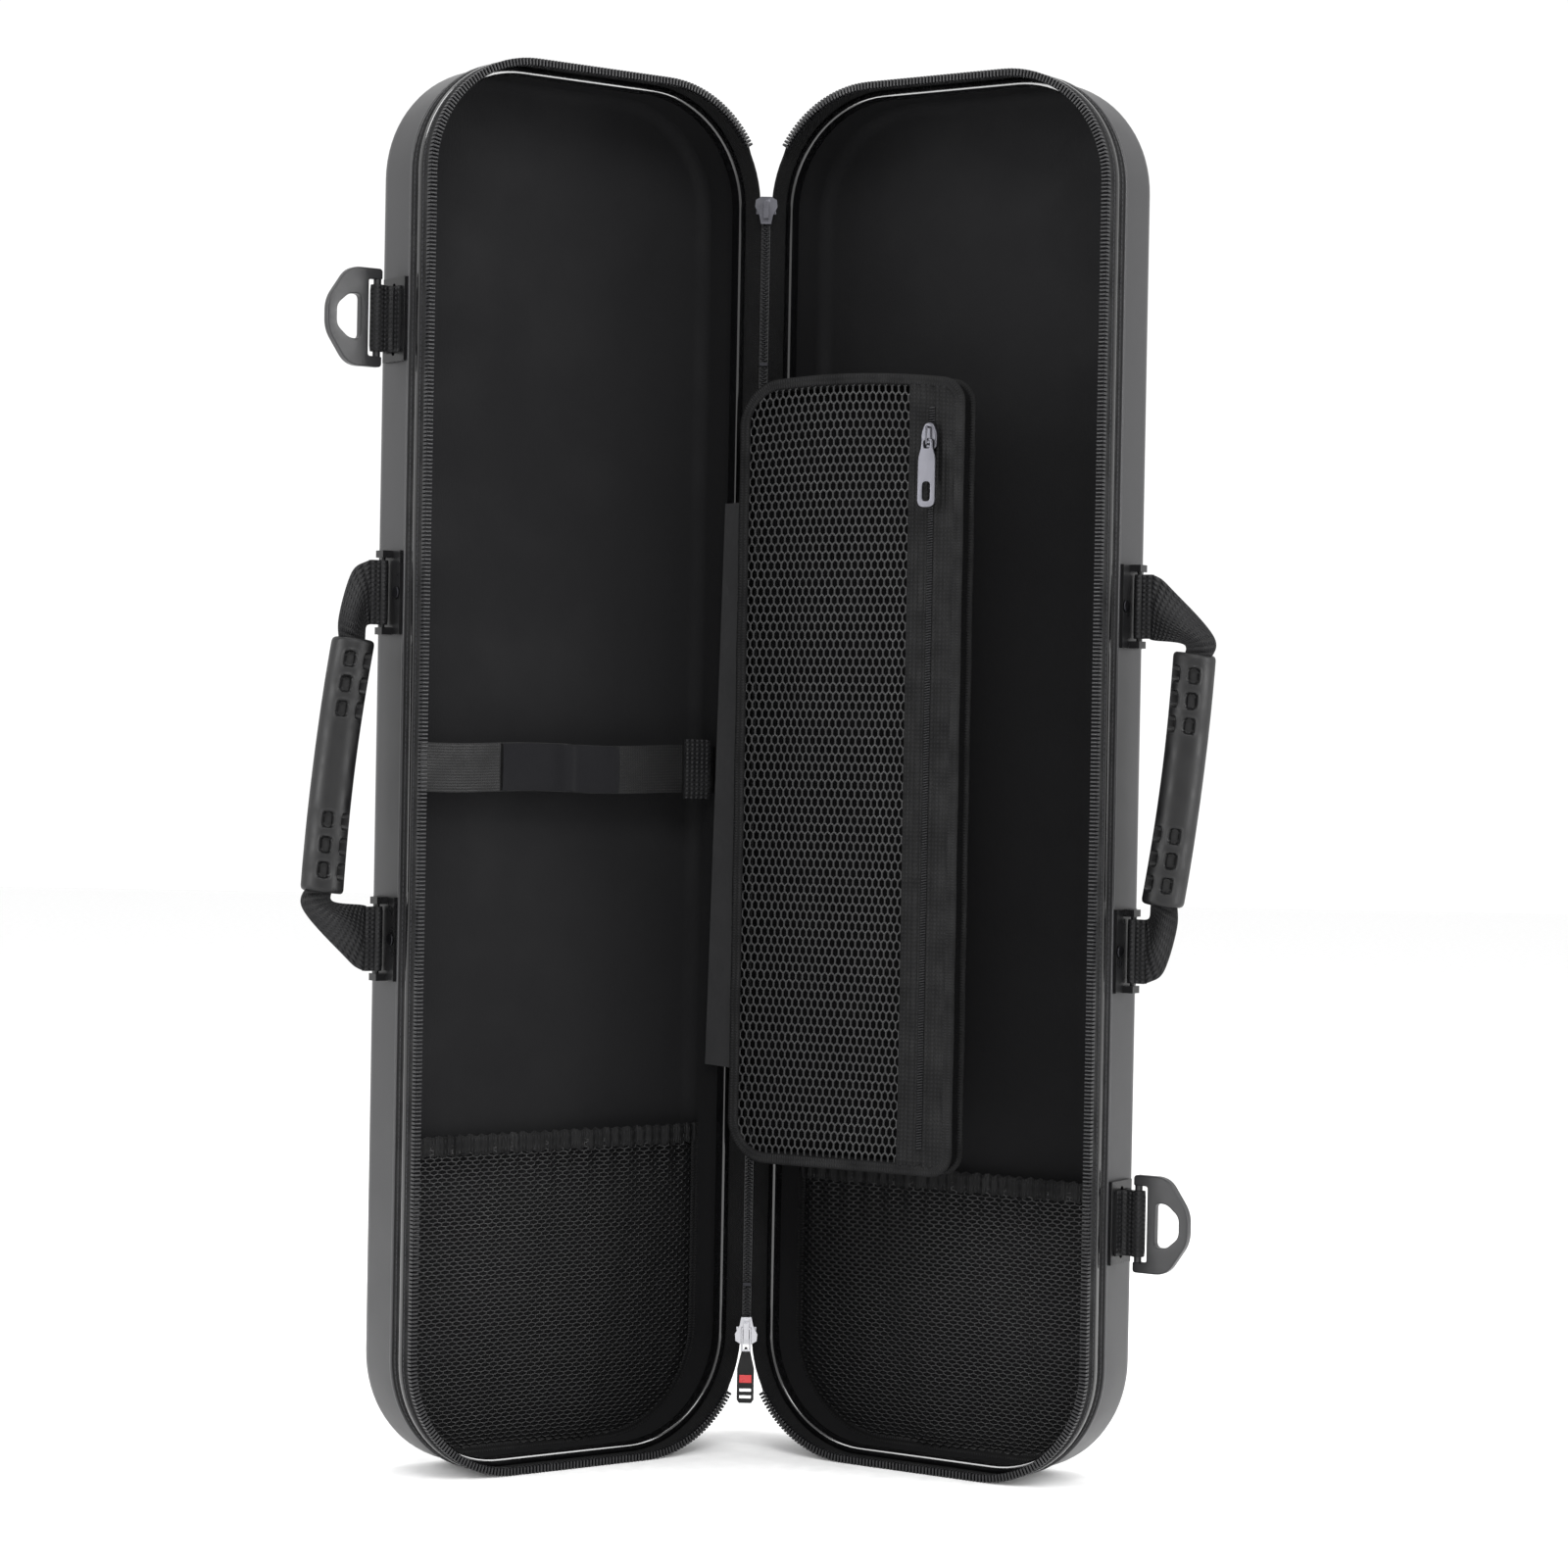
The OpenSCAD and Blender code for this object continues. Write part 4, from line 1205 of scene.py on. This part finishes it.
    def zip_panel(self) -> None:
        """Closely woven band beside the net, with sewn ridges on both sides of the zip."""
        p = np.linspace(self.net_end - 0.004, 0.0018 + self.width - 0.004, 60)
        z = np.linspace(0.005, self.height - 0.005, 120)
        pp, zz = np.meshgrid(p, z, indexing="ij")
        ridge = sum(0.0008 * np.exp(-((pp - at) / 0.0011) ** 2) for at in
                    (self.net_end - 0.001, self.zip_at - 0.0062, self.zip_at - 0.0026,
                     self.zip_at + 0.0026, self.zip_at + 0.0068))
        q = -self.thick - 0.0002 + 0.4 * self.slack(pp, zz) - ridge
        q += 0.0005 * np.exp(-((pp - self.zip_at) / 0.0022) ** 2)
        zz = self.arch(pp, zz)
        cloth = grid(self.to_world(pp, q, zz), run=p, across=z)
        piece = add_piece("pouch_zip_panel", cloth, self.paint["zip_cloth"], self.body, smooth=180,
                          thick=0.0009, slot="tape", node="pouch_zip_tape")

    def walls(self) -> None:
        """Side wall of the pouch and the tape folded over its front and back edges."""
        outer = self.outline(0)
        n = np.gradient(np.vstack([outer[-1:], outer, outer[:1]]), axis=0)[1:-1]
        n = np.stack([n[:, 1], -n[:, 0]], -1)
        n /= np.linalg.norm(n, axis=1)[:, None]
        step = np.linalg.norm(np.roll(outer, -1, 0) - outer, axis=1)
        run = np.concatenate([[0], np.cumsum(step)])

        def carry(section: Array) -> Surface:
            """Sweeps a closed section of (outward, Q) points round the page."""
            pz = outer[:, None] + n[:, None] * section[None, :, :1]
            q = np.broadcast_to(section[None, :, 1], pz.shape[:2])
            wobble = 0.00025 * np.sin(run[:-1] / 0.011)[:, None]
            ring = np.vstack([section, section[:1]])
            pts = self.to_world(pz[..., 0], q + wobble, pz[..., 1])
            return grid(pts, close_u=True, close_v=True, run=run, across=distance(ring))

        side = carry(np.array([(-0.0035, -self.thick + 0.001), (-0.0024, -self.thick + 0.001),
                               (-0.0034, -0.0075), (-0.0024, -0.0008), (-0.0035, -0.0008),
                               (-0.0045, -0.0075)]))
        add_piece("pouch_side_walls", side, self.paint["backing"], self.body, smooth=60, slot="binding",
                  node="pouch_gusset")
        bound = None
        for q in (-self.thick + 0.0006, -0.0009):
            box = rounded_section(0.0064, 0.0030, 0.0013) + np.array([-0.0032, q])
            bound = carry(box) if bound is None else bound + carry(box)
        add_piece("pouch_woven_binding", bound, self.paint["binding"], self.body, smooth=60,
                  slot="binding", node="pouch_binding")

    def coil(self) -> None:
        """Nylon coil: a leaning turn every 1.5 mm, down from the slider and up past it."""
        z = np.arange(0.016, self.height - 0.018, 0.0015)
        shape, faces = block(0.0034, 0.0009, 0.0017, 0.0004)
        lean = math.radians(12)
        cos, sin = math.cos(lean), math.sin(lean)
        flat = shape @ np.array([[cos, sin, 0], [-sin, cos, 0], [0, 0, 1]])
        spots = np.stack([np.full(len(z), self.zip_at), z, np.full(len(z), 0.0)], -1)
        turns = scatter(flat, faces, spots, np.broadcast_to(np.eye(3), (len(z), 3, 3)))
        p, up, out = turns.verts.T
        q = -self.thick - 0.0011 - out + 0.4 * self.slack(p, up)
        coil = Surface(self.to_world(p, q, self.arch(p, up)), turns.faces, turns.uvs)
        add_piece("pouch_zip_coil", coil, self.paint["teeth"], self.body, smooth=20, slot="teeth",
                  node="pouch_coil")

    def flap(self) -> None:
        """Folded cloth hinge along the pouch's inner edge, with its cord bead."""
        z = np.linspace(self.radius + 0.027, self.height - self.radius - 0.027, 60)
        section = np.array([(0.0045, -0.0022), (0.0022, -0.0024), (0.0006, -0.0019), (-0.0012, -0.0012),
                            (-0.0015, 0.0), (-0.0011, 0.0011), (0.0004, 0.0015), (0.0022, 0.0006),
                            (0.0045, -0.0002)])
        p = section[None, :, 0] + 0.0001 * np.sin(z / 0.006)[:, None]
        pts = self.to_world(p, section[None, :, 1] + 0 * p, z[:, None] + 0 * p)
        fold = grid(pts, close_v=True, run=z, across=np.arange(10) * 0.0013, cap_u=True)
        add_piece("pouch_hinge_fold", fold, self.paint["binding"], self.body, smooth=70, slot="binding",
                  node="pouch_hinge_bead")


@dataclass
class SpineChain:
    """Meshed zip teeth that hinge the halves, drawn as two rows that interlock."""

    paint: Paint
    pitch: float = 0.0022

    def build(self) -> None:
        """Alternates left and right teeth half a pitch apart, before the cord that backs them."""
        c = CASE
        z = np.arange(c.chain_end, c.length - c.chain_end, self.pitch / 2) + c.lip_out
        side = np.where(np.arange(len(z)) % 2, 1.0, -1.0)
        shape, faces = block(0.0031, 0.00095, 0.0040, 0.0006)
        spots = np.stack([HINGE[0] + side * 0.00062, np.full(len(z), HINGE[1]), z], -1)
        axes = np.zeros((len(z), 3, 3))
        axes[:, 0, 0], axes[:, 1, 2], axes[:, 2, 1] = 1, 1, -1
        teeth = scatter(shape, faces, spots, axes)
        core = np.vstack([arc(0, 0, 0.00255, 0, 180, 6), [[0.0, -0.0004]]])
        ends = np.array([c.chain_end, c.length - c.chain_end]) + c.lip_out
        pts = np.stack([np.broadcast_to(HINGE[0] + core[None, :, 0], (2, 8)),
                        np.broadcast_to(HINGE[1] + core[None, :, 1], (2, 8)),
                        np.broadcast_to(ends[:, None], (2, 8))], -1)
        rod = grid(pts, close_v=True, cap_u=True)
        add_piece("meshed_spine_teeth", teeth + rod, self.paint["teeth"], "spine", smooth=20,
                  slot="teeth", node="spine_chain")


# ---------- cut and moulded plates ----------

@dataclass(frozen=True)
class CutPlate:
    """Flat stamped or moulded part: an outline with holes, given a thickness and rolled edges."""

    outline: Array
    holes: tuple[Array, ...]
    thick: float
    edge: float

    def solid(self) -> Surface:
        """Fills the outline as a flat curve, thickens it about Z = 0 and welds it into one skin."""
        curve = bpy.data.curves.new("plate outline", "CURVE")
        curve.dimensions, curve.fill_mode = "2D", "BOTH"
        curve.extrude, curve.bevel_depth = self.thick / 2 - self.edge, self.edge
        curve.bevel_resolution, curve.offset = 2, -self.edge
        for loop in (self.outline, *self.holes):
            spline = curve.splines.new("POLY")
            spline.points.add(len(loop) - 1)
            flat = np.column_stack([loop, np.zeros(len(loop)), np.ones(len(loop))])
            spline.points.foreach_set("co", flat.ravel())
            spline.use_cyclic_u = True
        holder = bpy.data.objects.new("plate outline", curve)
        bpy.context.scene.collection.objects.link(holder)
        made = bpy.data.meshes.new_from_object(holder.evaluated_get(bpy.context.evaluated_depsgraph_get()))
        work = bmesh.new()
        work.from_mesh(made)
        bmesh.ops.remove_doubles(work, verts=work.verts, dist=1e-6)
        work.to_mesh(made)
        work.free()
        verts = np.zeros(len(made.vertices) * 3)
        made.vertices.foreach_get("co", verts)
        verts = verts.reshape(-1, 3)
        faces = [list(polygon.vertices) for polygon in made.polygons]
        bpy.data.objects.remove(holder)
        bpy.data.curves.remove(curve)
        bpy.data.meshes.remove(made)
        return Surface(verts, faces, flow_uv(verts[:, :2], faces))


def rod(path: Array, radius: float, side: Array, n: int = 14) -> Surface:
    """Round wire along a flat path.

    Args:
        path: centre points (k, 3).
        radius: the wire's radius.
        side: unit normal of the plane that the path lies in.
        n: points round the wire.

    Returns:
        A capped tube: point = centre + r (cos a * side + sin a * normal).
    """
    tangent = np.gradient(path, axis=0)
    tangent /= np.linalg.norm(tangent, axis=1)[:, None]
    normal = np.cross(tangent, side)
    a = np.linspace(0, 2 * math.pi, n, endpoint=False)
    ring = np.cos(a)[None, :, None] * side + np.sin(a)[None, :, None] * normal[:, None]
    run = np.concatenate([[0], np.cumsum(np.linalg.norm(np.diff(path, axis=0), axis=1))])
    return grid(path[:, None] + radius * ring, close_v=True, run=run,
                across=np.linspace(0, 2 * math.pi * radius, n + 1), cap_u=True)


@dataclass
class DRing(HalfPart):
    """D-ring for a shoulder strap: a moulded plate with a rounded eye, and the bar it turns on."""

    offset: float
    length: float = 0.055
    out: float = 0.013

    def build(self) -> None:
        """Makes the plate and its bar as one moulding."""
        h = self.length / 2
        shape = np.array([(-0.0022, -h), (0.019, -h), (0.032, -0.0085), (0.032, 0.0085), (0.019, h),
                          (-0.0022, h), (-0.0022, h - 0.006), (0.0064, h - 0.006), (0.0064, 0.006 - h),
                          (-0.0022, 0.006 - h)])
        turn = np.array([2.2, 7, 6, 6, 7, 2.2, 1, 1.6, 1.6, 1])[:, None] * MM
        eye = np.array([(0.0115, -0.0125), (0.0185, -0.0125), (0.0262, -0.0058), (0.0262, 0.0058),
                        (0.0185, 0.0125), (0.0115, 0.0125)])
        plate = CutPlate(rounded(shape, turn, 8), (rounded(eye, 0.0032, 6),), 0.005, 0.0008).solid()
        y = np.linspace(0.003 - h, h - 0.003, 12)
        bar = rod(np.stack([0 * y, y, 0 * y], -1), 0.0022, np.array([0.0, 0.0, 1.0]))
        both = plate + bar
        place = np.array([CASE.half_w + self.out, CASE.mid + self.offset, -CASE.anchor_v])
        world = Surface(self.place.to_world(both.verts + place), both.faces, both.uvs)
        self.add("moulded_ring", world, "ring", "fitting", "d_ring", body="ring", flat=True)


@dataclass
class PouchPull:
    """Slider of the pouch's zip, the wire loop on it and the slotted tab that hangs from the loop."""

    pouch: Pouch
    paint: Paint
    pivot: float = 0.415
    face: float = -0.017

    def put(self, surface: Surface, q: float) -> Surface:
        """Stands a flat part up on the pouch's front, its Z axis towards the viewer, at depth q."""
        x, y, z = surface.verts.T
        at = self.pouch.to_world(self.pouch.zip_at + x, q - z, self.pivot + y)
        return Surface(at, surface.faces, surface.uvs)

    def build(self) -> None:
        """Makes the slider with its loop, and the tab."""
        body = rounded(np.array([(-0.0048, -0.004), (0.0048, -0.004), (0.005, 0.005), (0.0026, 0.011),
                                 (-0.0026, 0.011), (-0.005, 0.005)]), 0.0022, 5)
        plate = self.put(CutPlate(body, (), 0.0038, 0.0009).solid(), self.face - 0.0014)
        q, z = np.array([(0.0030, -0.0013), (0.0054, -0.0013), (0.0059, -0.0008), (0.0059, 0.0078),
                         (0.0054, 0.0083), (0.0030, 0.0083)]).T
        line = smooth_path(np.stack([0 * q, z, q], -1), 40)
        wire = self.put(rod(line, 0.0006, np.array([1.0, 0.0, 0.0]), 10), self.face)
        add_piece("pouch_zip_slider", plate + wire, self.paint["gunmetal"], "pouch_runner", flat=True,
                  slot="gunmetal", node="pouch_slider")
        shape = np.array([(-0.0034, 0.002), (0.0034, 0.002), (0.0036, -0.003), (0.0054, -0.009),
                          (0.0056, -0.037), (-0.0056, -0.037), (-0.0054, -0.009), (-0.0036, -0.003)])
        turn = np.array([2.6, 2.6, 2, 3, 4.6, 4.6, 3, 2])[:, None] * MM
        eye = np.array([(-0.002, -0.0037), (0.002, -0.0037), (0.002, 0.0008), (-0.002, 0.0008)])
        slot = np.array([(-0.0024, -0.0335), (0.0024, -0.0335), (0.0024, -0.0225), (-0.0024, -0.0225)])
        holes = (rounded(eye, 0.0012), rounded(slot, 0.0022, 6))
        tab = CutPlate(rounded(shape, turn, 7), holes, 0.0014, 0.0003)
        add_piece("pouch_slotted_tab", self.put(tab.solid(), self.face - 0.0045),
                  self.paint["gunmetal"], "pouch_tab", flat=True, slot="gunmetal",
                  node="pouch_pull_tab")


# ---------- hard fittings ----------

@dataclass(frozen=True)
class Fitting:
    """A hard part that keeps its CAD shape, with its edges rolled over."""

    node: str
    finish: str
    slot: str
    edge: float = 0.0004

    def dress(self, paint: Paint) -> bpy.types.Object:
        """Copies the node's mesh, welds and simplifies it, then bevels its edges."""
        source = frame["nodes"][self.node]
        mesh = source.data.copy()
        mesh.materials.clear()
        mesh.materials.append(paint[self.finish])
        work = bmesh.new()
        work.from_mesh(mesh)
        bmesh.ops.remove_doubles(work, verts=work.verts, dist=1e-6)
        bmesh.ops.dissolve_limit(work, angle_limit=math.radians(1.0), verts=work.verts, edges=work.edges)
        work.to_mesh(mesh)
        work.free()
        for polygon in mesh.polygons:
            polygon.material_index = 0
        mesh.shade_smooth()
        mesh.set_sharp_from_angle(angle=math.radians(35))
        piece = bpy.data.objects.new(f"{self.node}_finished", mesh)
        bpy.context.scene.collection.objects.link(piece)
        bevel = piece.modifiers.new("rolled edge", "BEVEL")
        bevel.width, bevel.segments, bevel.angle_limit = self.edge, 2, math.radians(30)
        bevel.use_clamp_overlap, bevel.harden_normals = True, True
        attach(piece, source["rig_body"])
        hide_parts(self.node)
        log.info("%s keeps its CAD shape in %s", self.node, self.finish)
        return piece


FITTINGS = [Fitting(f"{side}_{node}", finish, slot, edge) for side in ("left", "right")
            for node, finish, slot, edge in (
                ("handle_anchors", "fitting", "fitting", 0.0006), ("anchor_rivets", "rivet", "rivet", 0.0004),
                ("ring_anchor", "fitting", "fitting", 0.0006))]
FITTINGS += [
    Fitting("spine_stops", "rivet", "gunmetal", 0.0002),
    Fitting("top_slider", "gunmetal", "gunmetal", 0.0005),
    Fitting("bottom_slider", "silver", "silver", 0.0005), Fitting("puller_link", "silver", "silver", 0.0003),
    Fitting("puller", "rubber", "rubber", 0.0005), Fitting("puller_inlay", "inlay", "inlay", 0.0001),
    Fitting("pouch_batten", "batten", "batten", 0.0003),
]


# ---------- studio ----------

@dataclass(frozen=True)
class Softbox:
    """A rectangular softbox aimed at a point: places and sizes in metres, power in watts."""

    name: str
    at: tuple[float, float, float]
    to: tuple[float, float, float]
    size: tuple[float, float]
    power: float

    def build(self) -> None:
        """Hangs the lamp."""
        data = bpy.data.lights.new(self.name, "AREA")
        data.shape, data.energy = "RECTANGLE", self.power
        data.size, data.size_y = self.size
        lamp = bpy.data.objects.new(self.name, data)
        bpy.context.scene.collection.objects.link(lamp)
        aim = (Vector(self.to) - Vector(self.at)).to_track_quat("-Z", "Y")
        lamp.matrix_world = Matrix.Translation(self.at) @ aim.to_matrix().to_4x4()


SOFTBOXES = (
    Softbox("left softbox", (-1.5, -0.7, 0.7), (-0.15, 0.0, 0.4), (0.5, 1.6), 22),
    Softbox("right softbox", (1.6, -0.6, 0.7), (0.15, 0.0, 0.4), (0.5, 1.6), 26),
    Softbox("front key", (0.4, -2.2, 2.2), (0.0, 0.0, 0.4), (1.4, 1.0), 40),
    Softbox("top light", (0.0, 0.1, 2.4), (0.0, 0.0, 0.5), (1.6, 1.0), 20),
)


@dataclass
class Studio:
    """Camera, soft lights and a pale floor."""

    lens: float = 84.67
    turn: float = 0.256
    tip: float = -0.53
    roll: float = 1.03
    stand: tuple[float, float, float] = (0.00677, -2.1703, 0.4129)  # from the hinge, height from the floor
    floor_half: float = 8.0
    surround: float = 1.05

    def camera(self) -> None:
        """Stands the camera 2.17 m in front of the hinge, a little over half way up the case."""
        data = bpy.data.cameras.new("camera")
        data.lens, data.sensor_width = self.lens, 36.0
        data.clip_start, data.clip_end = 0.05, 50.0
        cam = bpy.data.objects.new("camera", data)
        bpy.context.scene.collection.objects.link(cam)
        bpy.context.scene.camera = cam
        level = Matrix.Rotation(math.radians(90 + self.tip), 4, "X")
        pan, roll = (Matrix.Rotation(math.radians(a), 4, "Z") for a in (-self.turn, self.roll))
        aim = pan @ level @ roll
        x, y, z = self.stand
        cam.matrix_world = Matrix.Translation((HINGE[0] + x, HINGE[1] + y, z)) @ aim

    def build(self) -> None:
        """Makes the camera, the floor and the lights, and an even white surround."""
        self.camera()
        world = bpy.data.worlds.new("white surround")
        world.use_nodes = True
        background = world.node_tree.nodes["Background"]
        background.inputs["Color"].default_value = (1, 1, 1, 1)
        background.inputs["Strength"].default_value = self.surround
        bpy.context.scene.world = world
        mesh, half = bpy.data.meshes.new("studio_floor"), self.floor_half
        corners = [(-half, -half, 0), (half, -half, 0), (half, half, 0), (-half, half, 0)]
        mesh.from_pydata(corners, [], [(0, 1, 2, 3)])
        mesh.materials.append(Finish("matt white paper", "ffffff", 0.9).make())
        floor = bpy.data.objects.new("studio_floor", mesh)
        bpy.context.scene.collection.objects.link(floor)
        for light in SOFTBOXES:
            light.build()


def main() -> None:
    """Builds the whole case."""
    logging.basicConfig(level=logging.INFO, format="%(name)s: %(message)s")
    bpy.context.scene.view_settings.view_transform = "Standard"
    paint = {name: finish.make() for name, finish in FINISHES.items()}
    for place in (LEFT, RIGHT):
        differs = DIFFERENCES[place.side]
        HalfShell(place, paint).build()
        Rim(place, paint).build()
        NetPocket(place, paint, differs.pocket_top, seed=differs.pocket_seed).build()
        Handle(place, paint, differs.grip_lean).build()
        for ring_part in (RingTab, DRing):
            ring_part(place, paint, differs.ring_at).build()
    HoldDownStrap(LEFT, paint).build()
    pouch = Pouch(paint)
    pouch.build()
    PouchPull(pouch, paint).build()
    SpineChain(paint).build()
    for fitting in FITTINGS:
        fitting.dress(paint)
    Studio().build()


if __name__ == "__main__":
    main()
